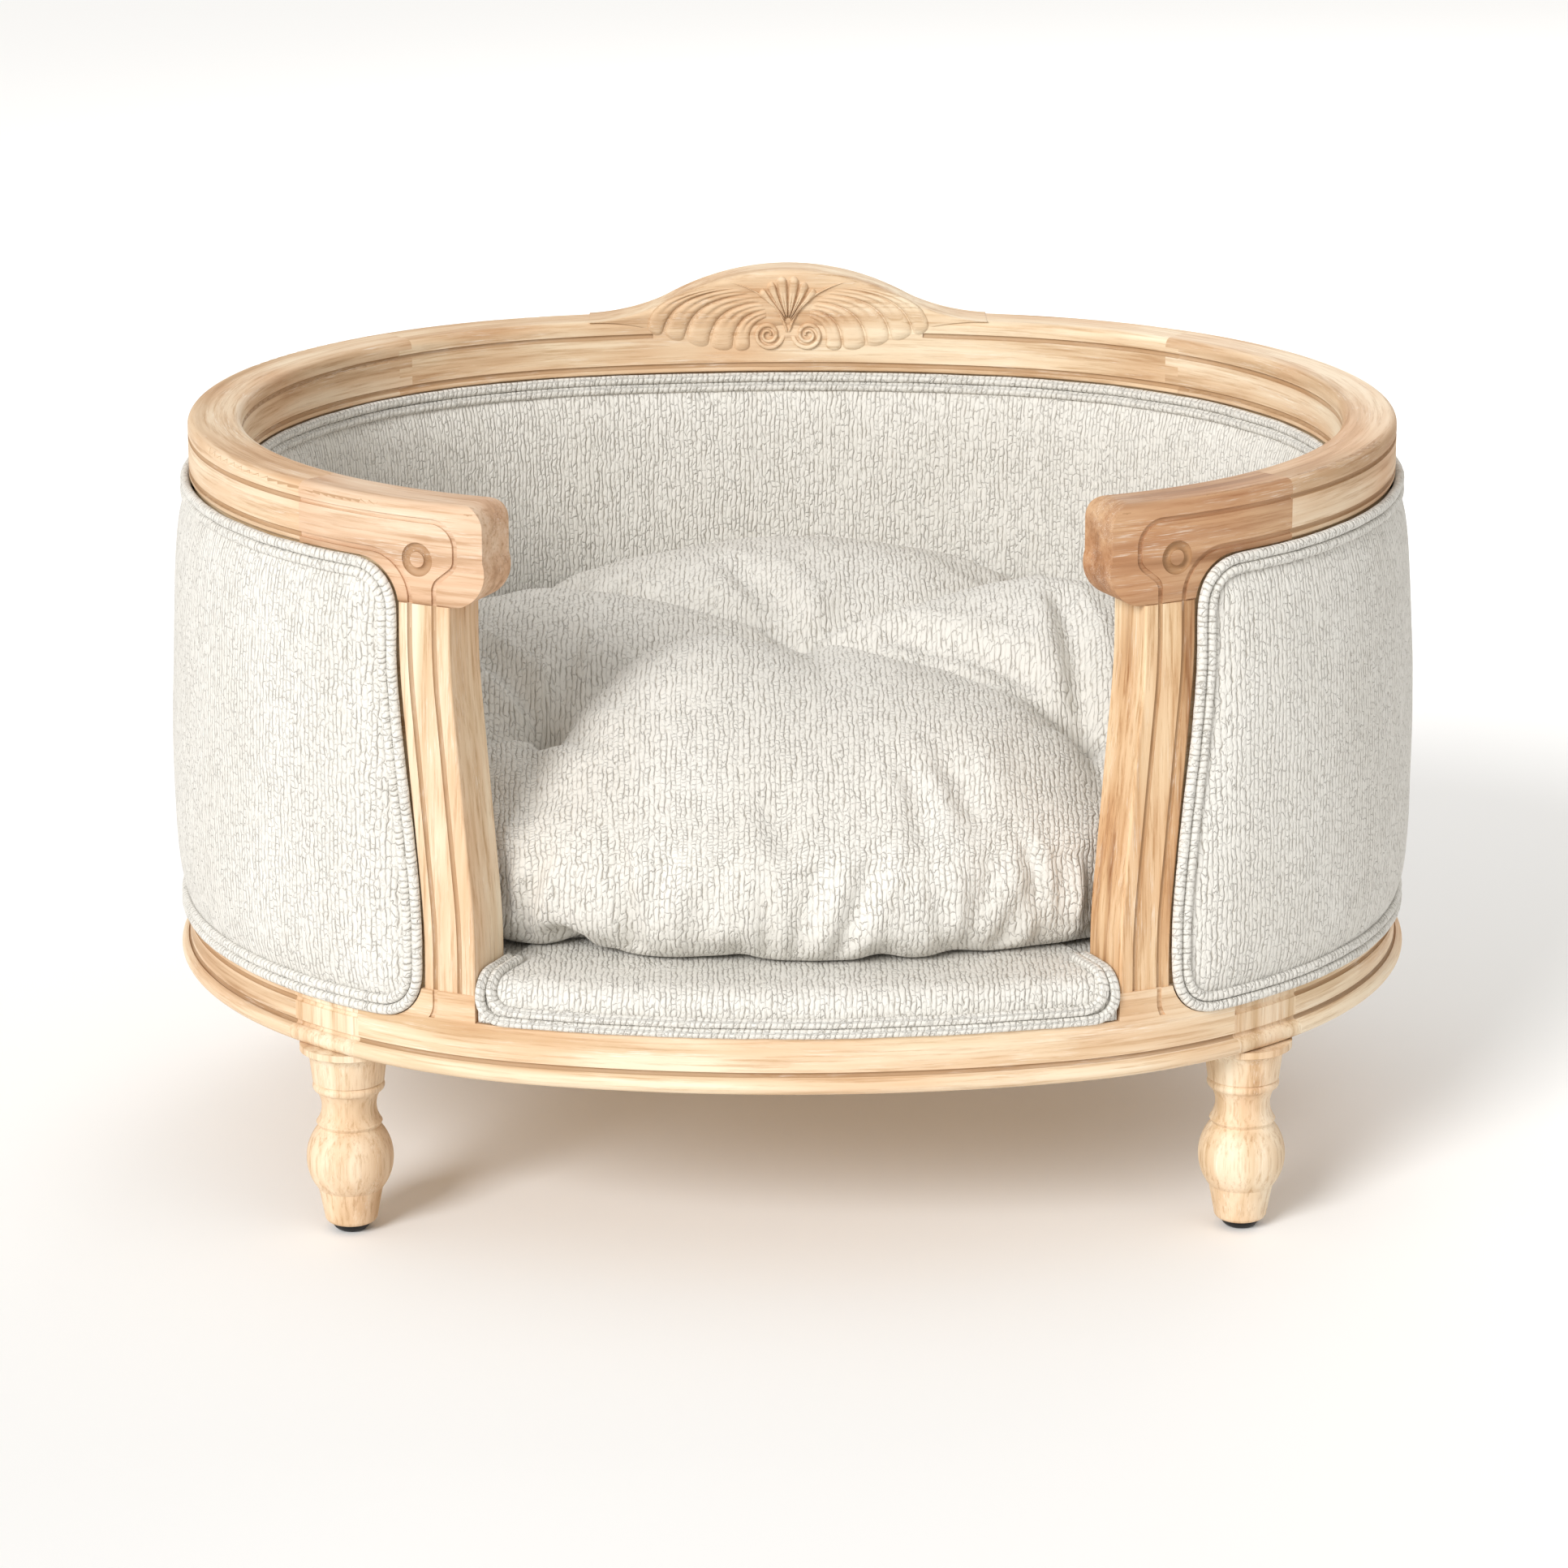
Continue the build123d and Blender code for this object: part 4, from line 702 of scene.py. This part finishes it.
def carving():
    leaves = [leaf(bend(one), bend(other), 2.4, 2.6, 0.5, 0.3) for one, other in zip(WING, WING[1:])]
    leaves += [leaf(bend(one), bend(other), 2.8, -3.6, 0.35, 0.1) for one, other in LILY]
    stem, field = bend(STEM), bend(FIELD)
    leaves.append(leaf(stem - [STEM_HALF, 0], stem + [STEM_HALF, 0], 2.0, fade=0.3))
    leaves.append(leaf(field, field - [0, FIELD_WIDE], 0.6, fade=0.1, line=0.0))
    leaves.append(leaf(*volute(), 2.6, fade=0.05))
    parts, groove_shades = [], []
    for side in (1, -1):
        for flat, lift, dark in leaves:
            x = side * flat[:, :, 0] / MILLIMETRES
            height = ARM_TOP + flat[:, :, 1] / MILLIMETRES
            y = back_depth(x, -RAIL_THICK - lift / MILLIMETRES)
            spots = np.stack([x, y, height], -1).reshape(-1, 3)
            quads = grid_faces(*lift.shape)
            parts.append((spots, quads if side > 0 else quads[:, ::-1]))
            groove_shades.append(np.broadcast_to(dark, lift.shape).ravel())
    vertices, faces = joined(parts)
    obj = mesh_object("crest_carving", vertices, faces)
    # The painted shade of the carving's grooves, which darkens the wood there.
    set_groove_shade(obj.data, "POINT", np.concatenate(groove_shades))
    set_attribute(obj.data, "grain", lengthwise(vertices))
    obj.data.materials.append(OAK_BACK)
    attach(obj, "frame")


carving()

# Deck: a padded plate inside the seat rail, and the cloth that laps over the rail between the posts.
# Both profiles are offsets from the oval and heights.

PLATE_PROFILE = [
    (-0.0305, 0.1580), (-0.0305, 0.1675), (-0.0315, 0.1690), (-0.0330, 0.16925),
    (-0.09, 0.16925), (-0.17, 0.16925), (-0.24, 0.16925),
]
PLATE_COLUMNS = 300
LAP_PROFILE = [
    (-0.120, 0.1676), (-0.060, 0.1692), (-0.020, 0.1693), (-0.006, 0.1690), (-0.001, 0.1682),
    (0.0024, 0.1660), (0.0042, 0.1630), (0.0045, 0.1590), (0.0045, 0.1520), (0.0045, 0.1447),
]
LAP_COLUMNS, LAP_EDGE, LAP_CLOTH = 180, 0.0246, 0.0012
LAP_SLACK, LAP_CRINKLE, CRINKLE_PITCH = 0.0014, 0.0007, 0.034
PULL_REACH, EASE_REACH = 0.03, 0.06
LAP_WELT_REST, LAP_WELT_LOW, LAP_WELT_LIFT = 0.0075, 0.144, 0.0028
LAP_WELT_EDGE, LAP_WELT_TURN, LAP_WELT_REACH = 0.02405, 0.007, 0.036
LAP_WELT_STEP = 0.003


def deck_plate():
    turn = np.linspace(-math.pi / 2, 1.5 * math.pi, PLATE_COLUMNS, endpoint=False)
    vertices = np.concatenate([OVAL.point(turn, offset, z) for offset, z in PLATE_PROFILE])
    obj = mesh_object("deck_cloth", vertices, closed_faces(len(PLATE_PROFILE), PLATE_COLUMNS))
    set_attribute(obj.data, "rib", vertices)
    obj.data.materials.append(CHENILLE)
    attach(obj, "frame")
    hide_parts("deck_cover", "deck_padding")


def deck_lap():
    profile = np.array(LAP_PROFILE)
    run = run_along(profile)
    places = np.concatenate([np.linspace(0, run[4], 30)[:-1], np.linspace(run[4], run[-1], 16)])
    offset = np.interp(places, run, profile[:, 0])
    height = np.interp(places, run, profile[:, 1])
    last = edge_normal(LAP_EDGE, np.minimum(offset, 0.0))[:, None]
    share = np.linspace(0, 1, LAP_COLUMNS)[None, :]
    normal = (-math.pi - last) * (1 - share) + last * share
    points = OVAL.point(normal, offset[:, None], height[:, None]).reshape(-1, 3)
    place = np.repeat(places, LAP_COLUMNS)
    pull = np.clip((place - run[2]) / PULL_REACH, 0, 1)
    ease = np.clip(place / EASE_REACH, 0, 1)
    crinkle = np.sin(points[:, 0] * 2 * math.pi / CRINKLE_PITCH + 4 * wobble(points, 12.0, 3)) * LAP_CRINKLE
    slack = np.abs((wobble(points, 14.0, 21) * LAP_SLACK + crinkle) * (0.35 + 0.65 * pull) * ease)
    points[:, 2] += np.where(place < run[6], slack, 0)
    points[:, 1] -= np.where(place >= run[5], slack * 0.6, 0)
    obj = mesh_object("deck_front_cloth", points, grid_faces(len(places), LAP_COLUMNS))
    set_attribute(obj.data, "rib", points)
    thicken(obj, LAP_CLOTH)
    obj.data.materials.append(CHENILLE)
    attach(obj, "frame")
    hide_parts("deck_cover", "deck_padding")


deck_plate()
deck_lap()


def deck_cord(inset):
    """Right half, from the middle of the lap to the back of the post, then mirrored."""
    low, high = LAP_WELT_LOW + inset, DECK_TOP + LAP_WELT_LIFT
    across = LAP_WELT_EDGE + inset
    corner = edge_normal(across + LAP_WELT_TURN, LAP_WELT_REST)
    spots = [OVAL.point(n, LAP_WELT_REST, low) for n in np.linspace(-math.pi / 2, corner, 60)]
    rise = edge_normal(across, LAP_WELT_REST)
    for z in np.linspace(low + LAP_WELT_TURN, high - LAP_WELT_TURN, 8):
        spots.append(OVAL.point(rise, LAP_WELT_REST, z))
    inward = -np.array([math.cos(POST_ANGLE), math.sin(POST_ANGLE), 0])
    top = OVAL.point(rise, LAP_WELT_REST, high)
    for step in np.linspace(LAP_WELT_TURN, LAP_WELT_REACH, 12):
        spots.append(top + inward * step)
    half = smooth_line(resample(spots, LAP_WELT_STEP), 3)
    return wandering(with_mirror(half), 31)


cord_object("deck_double_welt", [deck_cord(inset) for inset in INSETS], "deck_welt")

# Cushion: its oval and heights, its tufts and the depth and reach of their pits

CUSHION_HALF_WIDTH, CUSHION_HALF_DEPTH = 0.3048, 0.2458
CUSHION_OVAL = Oval(CUSHION_HALF_WIDTH, CUSHION_HALF_DEPTH, 0.2138)
CUSHION_SHIFT = -0.011
CUSHION_LOW, CUSHION_GIRTH, CUSHION_HIGH = 0.1703, 0.2145, 0.315
CUSHION_CROWN, CUSHION_TUCK, CUSHION_CORE = 0.160, 0.030, 0.20
TUFTS = [(0.004, -0.003), (-0.140, -0.118), (-0.155, 0.095), (0.165, -0.115), (0.155, 0.095)]
TUFT_PIT, OUTER_PIT, PIT_REACH = 0.015, 0.034, 0.023
# Humps between the tufts: middle, height and reach
HUMPS = [
    (-0.066, -0.100, 0.017, 0.055),
    (0.090, -0.085, -0.003, 0.060),
    (-0.140, -0.010, 0.010, 0.050),
    (0.150, 0.010, 0.011, 0.060),
    (0.000, 0.125, 0.006, 0.090),
]
BACK_RISE, TOP_LUMPS = 0.055, 0.003
# Height at which the top starts to be drawn in, and the rise over which it comes in full
DRAW_LOW, DRAW_RISE = 0.225, 0.05
# Creases sewn from tuft to tuft and from tuft to border: ends, depths at the ends and width
SEWN_CREASES = [(TUFTS[0], tuft, 0.022, 0.026, 0.021) for tuft in TUFTS[1:]]
for tuft_x, tuft_y in TUFTS[1:]:
    SEWN_CREASES.append(((tuft_x, tuft_y), (tuft_x * 1.75, tuft_y * 1.25), 0.026, 0.0, 0.020))
    SEWN_CREASES.append(((tuft_x, tuft_y), (tuft_x * 1.12, tuft_y * 2.3), 0.022, 0.0, 0.020))
SOFT_CREASES = [
    (TUFTS[0], (0.022, -0.160), 0.023, 0.0, 0.032),
    (TUFTS[0], (-0.030, 0.130), 0.014, 0.0, 0.018),
]
# Single folds seen on the top: ends, depth and width
FOLDS = [
    ((-0.030, 0.075), (0.002, 0.000), 0.008, 0.0090),
    ((0.060, -0.020), (0.140, -0.080), 0.008, 0.0065),
    ((0.157, -0.010), (0.166, -0.105), 0.010, 0.0070),
    ((0.075, -0.045), (0.125, -0.110), 0.004, 0.0060),
    ((-0.185, -0.060), (-0.141, -0.116), 0.008, 0.0060),
    ((-0.120, -0.050), (-0.139, -0.116), 0.006, 0.0060),
    ((0.083, -0.195), (0.096, -0.222), 0.006, 0.0110),
    ((0.060, -0.205), (0.072, -0.240), 0.006, 0.0070),
    ((-0.010, -0.225), (-0.004, -0.250), 0.004, 0.0080),
    ((-0.112, -0.170), (-0.139, -0.120), 0.006, 0.0070),
]
FOLD_LOW, FOLD_SWAY = 0.2, 0.004
PLEATS, PLEAT_DEPTH, PLEAT_START, PLEAT_REACH = 9, 0.0034, 0.018, 0.040
PLEAT_LOW, PLEAT_RISE = 0.25, 0.04
# Small wrinkles and pinches drawn at random round the side, and the pinch that the photograph shows
WRINKLE_COUNT, PINCH_COUNT, WRINKLE_SEED = 64, 22, 7
WRINKLE_TILT, WRINKLE_WIDTH = (-0.5, 0.5), (0.004, 0.009)
WRINKLE_DEPTH, WRINKLE_TOP = (0.002, 0.006), (0.205, 0.275)
PINCH_WIDTH, PINCH_DEPTH = (0.008, 0.016), (0.002, 0.006)
WAVE, WAVE_HEIGHT, WAVE_REACH = 0.0030, 0.205, 0.04
FRONT_PINCH = (-2.125, 0.012, 0.013)
PINCH_HEIGHT, PINCH_REACH = 0.176, 0.010
WRAP_RADIUS, RIM = 0.27, 0.75
SEAM, SEAM_DEPTH, SEAM_WIDTH = 0.2280, 0.0024, 0.0032
# The flat underside with room for the zip, and offsets from the frame's oval that the cushion keeps within
UNDER_RISE, UNDER_RIM = 0.002, 0.85
ZIP_Y, ZIP_HALF, ZIP_WIDE, ZIP_DEEP = 0.034, 0.204, 0.015, 0.0095
WALL_LIMIT, ENTRANCE_LIMIT, ENTRANCE_HALF, ENTRANCE_Y = -0.0405, -0.012, 0.16, -0.2
CUSHION_VOXEL, CUSHION_CAP, CUSHION_SLACK = 0.0048, 0.012, 1.02
SETTLE_FRAMES = 20
SEWN_REACH, SEWN_LOW, HELD_RISE = 0.005, 0.27, 0.004
TWINE_RADIUS, ANCHOR_RADIUS, TOP_LOW = 0.0009, 0.008, 0.22
ANCHOR_HEIGHTS = (0.1697, 0.1707, 0.1717)
TWINE_TAIL = [(0.0, -0.004), (0.001, 0.001), (0.003, 0.003), (0.006, 0.0035), (0.009, 0.002)]


def bell(away, width):
    return np.exp(-((away / width) ** 2))


def cushion_shell(columns=260):
    """Plump closed form of the cushion before it is tufted."""
    turn = np.linspace(0, 2 * math.pi, columns, endpoint=False)
    profile = [(CUSHION_CORE, CUSHION_LOW), (0.06, CUSHION_LOW), (CUSHION_TUCK, CUSHION_LOW + 0.0005)]
    for a in np.linspace(0.15, math.pi / 2, 12):
        low = CUSHION_GIRTH - (CUSHION_GIRTH - CUSHION_LOW) * math.cos(a)
        profile.append((CUSHION_TUCK * (1 - math.sin(a)) ** 1.4, low))
    for a in np.linspace(0, math.pi / 2, 34)[1:]:
        high = CUSHION_GIRTH + (CUSHION_HIGH - CUSHION_GIRTH) * math.sin(a)
        profile.append((CUSHION_CROWN * (1 - math.cos(a)), high))
    profile += [(0.18, CUSHION_HIGH + 0.0005), (CUSHION_CORE, CUSHION_HIGH + 0.001)]
    rings = [CUSHION_OVAL.point(turn, -inset, z) + [0, CUSHION_SHIFT, 0] for inset, z in profile]
    return mesh_object("cushion", np.concatenate(rings), closed_faces(len(profile), columns))


def segment_distance(x, y, a, b):
    """Distance from a line between two points, and the share of the way along it."""
    (ax, ay), (bx, by) = a, b
    along = ((x - ax) * (bx - ax) + (y - ay) * (by - ay)) / ((bx - ax) ** 2 + (by - ay) ** 2)
    held = np.clip(along, 0, 1)
    return np.hypot(x - ax - held * (bx - ax), y - ay - held * (by - ay)), held


def tufted(points):
    """Draw the top down at the tufts and along the creases."""
    x, y, z = points.T
    top = np.clip((z - DRAW_LOW) / DRAW_RISE, 0, 1)
    top = top * top * (3 - 2 * top)
    drop = np.zeros(len(points))
    for k, (tx, ty) in enumerate(TUFTS):
        drop += (OUTER_PIT if k else TUFT_PIT) * np.exp(-np.hypot(x - tx, y - ty) / PIT_REACH)
    creases = np.zeros(len(points))
    for start, end, first, last, width in SEWN_CREASES + SOFT_CREASES:
        away, along = segment_distance(x, y, start, end)
        creases = np.maximum(creases, (first + (last - first) * along) * np.exp(-away / width))
    lean = BACK_RISE * y
    for hx, hy, height, reach in HUMPS:
        lean += height * np.exp(-((x - hx) ** 2 + (y - hy) ** 2) / reach**2)
    moved = points.copy()
    moved[:, 2] += (lean - drop - creases + wobble(points, 6.0, 41) * TOP_LUMPS) * top
    return moved


def remeshed(obj, size):
    remesh = obj.modifiers.new("even", "REMESH")
    remesh.mode = "VOXEL"
    remesh.voxel_size = size
    with bpy.context.temp_override(object=obj, active_object=obj, selected_objects=[obj]):
        bpy.ops.object.modifier_apply(modifier="even")


def settled(obj, slack, held):
    """Places of the cloth's points once pressure has filled it out between the held points."""
    obj.shape_key_add(name="drawn")
    loose = obj.shape_key_add(name="slack")
    loose.data.foreach_set("co", slack.ravel())
    obj.vertex_groups.new(name="held").add([int(i) for i in np.flatnonzero(held)], 1.0, "REPLACE")
    cloth_modifier = obj.modifiers.new("cloth", "CLOTH")
    stuff = cloth_modifier.settings
    stuff.quality = 6
    stuff.mass = 0.25
    stuff.tension_stiffness = stuff.compression_stiffness = 18
    stuff.shear_stiffness = 6
    stuff.bending_stiffness = 0.1
    stuff.air_damping = 2
    stuff.use_pressure = True
    stuff.uniform_pressure_force = 1.5
    stuff.vertex_group_mass = "held"
    stuff.rest_shape_key = loose
    stuff.effector_weights.gravity = 0
    cloth_modifier.collision_settings.use_collision = False
    cloth_modifier.point_cache.frame_start = 1
    cloth_modifier.point_cache.frame_end = SETTLE_FRAMES
    for number in range(1, SETTLE_FRAMES + 1):
        scene.frame_set(number)
    shape = obj.evaluated_get(bpy.context.evaluated_depsgraph_get()).to_mesh()
    places = coords(shape)
    obj.modifiers.remove(cloth_modifier)
    obj.shape_key_clear()
    obj.vertex_groups.clear()
    scene.frame_set(1)
    return places


def filled(obj, drawn, rest):
    """Fill the drawn cover out by cloth simulation, held at its sewn creases and underneath."""
    obj.data.vertices.foreach_set("co", drawn.ravel())
    middle = [0, CUSHION_SHIFT, CUSHION_GIRTH]
    slack = (rest - middle) * CUSHION_SLACK + middle
    x, y, z = rest.T
    sewn = [segment_distance(x, y, crease[0], crease[1])[0] < SEWN_REACH for crease in SEWN_CREASES]
    held = (np.any(sewn, 0) & (z > SEWN_LOW)) | (z < CUSHION_LOW + HELD_RISE)
    shift = settled(obj, slack, held) - drawn
    length = np.linalg.norm(shift, axis=1)
    return drawn + shift * np.minimum(1, CUSHION_CAP / np.maximum(length, 1e-9))[:, None]


def fold_top(points, rest):
    """Pleats round the tufts, and the single folds."""
    x, y, z = rest.T
    top = np.clip((z - PLEAT_LOW) / PLEAT_RISE, 0, 1)
    for k, (tx, ty) in enumerate(TUFTS):
        away = np.hypot(x - tx, y - ty)
        turn = np.arctan2(y - ty, x - tx) + 0.5 * wobble(rest, 14.0, 71 + k)
        pleat = np.cos(turn * PLEATS + k) * np.minimum(away / PLEAT_START, 1) * np.exp(-away / PLEAT_REACH)
        points[:, 2] += PLEAT_DEPTH * pleat * top
    sway = FOLD_SWAY * wobble(rest, 16.0, 91)
    for start, end, deep, width in FOLDS:
        away, along = segment_distance(x + sway, y, start, end)
        taper = np.sqrt(np.clip(np.minimum(along, 1 - along) * 5 + 0.25, 0, 1))
        fold = bell(away, width) - 0.35 * bell(away - 2.2 * width, width)
        points[:, 2] -= deep * fold * taper * (z > FOLD_LOW)


def wrinkle_side(points, rest):
    """Wrinkles and pinches round the side, and its seam."""
    x, y, z = rest.T
    around = np.arctan2(y - CUSHION_SHIFT, x)
    at_rim = np.hypot(x / CUSHION_HALF_WIDTH, (y - CUSHION_SHIFT) / CUSHION_HALF_DEPTH) > RIM
    outward = np.stack([np.cos(around), np.sin(around), np.zeros_like(around)], -1)

    def run_from(place):
        return ((around - place + math.pi) % (2 * math.pi) - math.pi) * WRAP_RADIUS

    push = wobble(rest * [1, 1, 0.4], 24.0, 63) * WAVE * bell(z - WAVE_HEIGHT, WAVE_REACH)
    draw = np.random.default_rng(WRINKLE_SEED)
    for _ in range(WRINKLE_COUNT):
        place, tilt = draw.uniform(-math.pi, math.pi), draw.uniform(*WRINKLE_TILT)
        width, deep = draw.uniform(*WRINKLE_WIDTH), draw.uniform(*WRINKLE_DEPTH)
        high = draw.uniform(*WRINKLE_TOP)
        away = run_from(place) - tilt * (z - 0.19)
        length = np.clip((high - z) / 0.03, 0, 1) * np.clip((z - 0.172) / 0.008, 0, 1)
        push -= deep * (bell(away, width) - 0.5 * bell(away - 2 * width, width)) * length
    pinches = [FRONT_PINCH]
    for _ in range(PINCH_COUNT):
        place = draw.uniform(-math.pi, math.pi)
        pinches.append((place, draw.uniform(*PINCH_WIDTH), draw.uniform(*PINCH_DEPTH)))
    for place, width, deep in pinches:
        pinch = deep * bell(run_from(place), width) * bell(z - PINCH_HEIGHT, PINCH_REACH)
        push -= pinch
        points[:, 2] += 0.6 * pinch * at_rim
    push -= SEAM_DEPTH * bell(z - SEAM - 0.002 * np.sin(around * 9), SEAM_WIDTH)
    points += outward * (push * at_rim)[:, None]


def fit_cushion(points, rest):
    """Flat underneath with room for the zip, and clear of the wall and the posts."""
    x, y, z = rest.T
    rim = np.hypot(x / CUSHION_HALF_WIDTH, (y - CUSHION_SHIFT) / CUSHION_HALF_DEPTH)
    under = (z < CUSHION_LOW + UNDER_RISE) & (rim < UNDER_RIM)
    points[under, 2] = CUSHION_LOW
    points[:, 2] = np.maximum(points[:, 2], CUSHION_LOW)
    zip_room = under & (np.abs(x) < ZIP_HALF) & (np.abs(y - ZIP_Y) < ZIP_WIDE)
    points[zip_room, 2] += ZIP_DEEP
    offset = OVAL.run_of(points)[1]
    entrance = (points[:, 1] < ENTRANCE_Y) & (np.abs(points[:, 0]) < ENTRANCE_HALF)
    inward = np.minimum(np.where(entrance, ENTRANCE_LIMIT, WALL_LIMIT) - offset, 0)
    core = np.stack([np.clip(points[:, 0], -OVAL.end, OVAL.end), 0 * offset, points[:, 2]], -1)
    away = points - core
    points += away / np.maximum(np.linalg.norm(away, axis=1), 1e-6)[:, None] * inward[:, None]


def cushion():
    """The cushion; gives the places of its points before they are subdivided."""
    obj = cushion_shell()
    remeshed(obj, CUSHION_VOXEL)
    rest = coords(obj.data)
    drawn = tufted(rest)
    points = filled(obj, drawn, rest)
    fold_top(points, rest)
    wrinkle_side(points, rest)
    fit_cushion(points, rest)
    obj.data.vertices.foreach_set("co", points.ravel())
    obj.data.polygons.foreach_set("use_smooth", [True] * len(obj.data.polygons))
    set_attribute(obj.data, "rib", rest)
    smoothing = obj.modifiers.new("smooth", "SUBSURF")
    smoothing.levels = smoothing.render_levels = 1
    obj.data.materials.append(CHENILLE)
    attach(obj, "cushion")
    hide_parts("cushion_cover", "cushion_filling")
    return points


def tuft_twine(points):
    """A short end of twine in each tuft, tied through to a flat anchor underneath."""
    parts = []
    for k, (x, y) in enumerate(TUFTS):
        near = np.hypot(points[:, 0] - x, points[:, 1] - y) + np.where(points[:, 2] > TOP_LOW, 0, 1)
        pit = points[np.argmin(near), 2]
        lean = 0.9 * k + 0.4
        tail = [(x + r * math.cos(lean), y + r * math.sin(lean), pit + h) for r, h in TWINE_TAIL]
        line = smooth_line(resample(tail, 0.001), 2)
        anchor = np.array([(x, y, z) for z in ANCHOR_HEIGHTS])
        parts.append(tube(line, TWINE_RADIUS, 8, k)[:2])
        parts.append(tube(anchor, ANCHOR_RADIUS, 24, k)[:2])
    ties = mesh_object("tuft_twine", *joined(parts))
    ties.data.materials.append(TWINE)
    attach(ties, "cushion")
    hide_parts("tuft_ties")


tuft_twine(cushion())

# Camera from the fit to the photograph: its place in metres, and its lens and middle in pixels

YAW, DISTANCE, HEIGHT, PITCH = 0.0112, 3.1778, 1.1411, 0.2734
PHOTO_SIDE, FOCAL, MIDDLE_X, MIDDLE_Y = 1932, 6894.7, 976.3, 874.65
view = bpy.data.cameras.new("camera")
view.sensor_width = 36
view.lens = FOCAL / PHOTO_SIDE * view.sensor_width
view.shift_x = (PHOTO_SIDE / 2 - MIDDLE_X) / PHOTO_SIDE
view.shift_y = (MIDDLE_Y - PHOTO_SIDE / 2) / PHOTO_SIDE
camera = bpy.data.objects.new("camera", view)
camera.location = (-DISTANCE * math.sin(YAW), -DISTANCE * math.cos(YAW), HEIGHT)
camera.rotation_euler = (math.pi / 2 - PITCH, 0, -YAW)
scene.collection.objects.link(camera)
scene.camera = camera

# Lights and floor

BED_MIDDLE = (0, 0, 0.25)
FLOOR_HALF = 6


def add_light(name, kind, place, aim=BED_MIDDLE, **settings):
    """A soft light at a place, turned to the middle of the bed or to another point."""
    data = bpy.data.lights.new(name, kind)
    for key, value in settings.items():
        setattr(data, key, value)
    light = bpy.data.objects.new(name, data)
    light.location = place
    light.rotation_euler = (Vector(aim) - Vector(place)).to_track_quat("-Z", "Y").to_euler()
    scene.collection.objects.link(light)


add_light("key", "SUN", (-1.5, -2.3, 1.75), energy=2.62, angle=math.radians(24))
add_light("fill", "AREA", (2.0, -1.6, 1.4), energy=4, size=2.0)
add_light("back", "AREA", (1.0, 2.6, 1.5), (1.0, 1.6, 0.0), energy=29, size=2.0)
world = bpy.data.worlds.new("world")
scene.world = world
world.use_nodes = True
sky = world.node_tree.nodes["Background"]
sky.inputs["Color"].default_value = (1.0, 0.98, 0.945, 1)
sky.inputs["Strength"].default_value = 0.60
scene.view_settings.view_transform = "Standard"

corners = [(FLOOR_HALF * x, FLOOR_HALF * y, 0) for x, y in ((-1, -1), (1, -1), (1, 1), (-1, 1))]
floor = mesh_object("floor", corners, [(0, 1, 2, 3)])
floor.data.materials.append(Graph("floor", (0.95, 0.947, 0.942), 0.9).material)
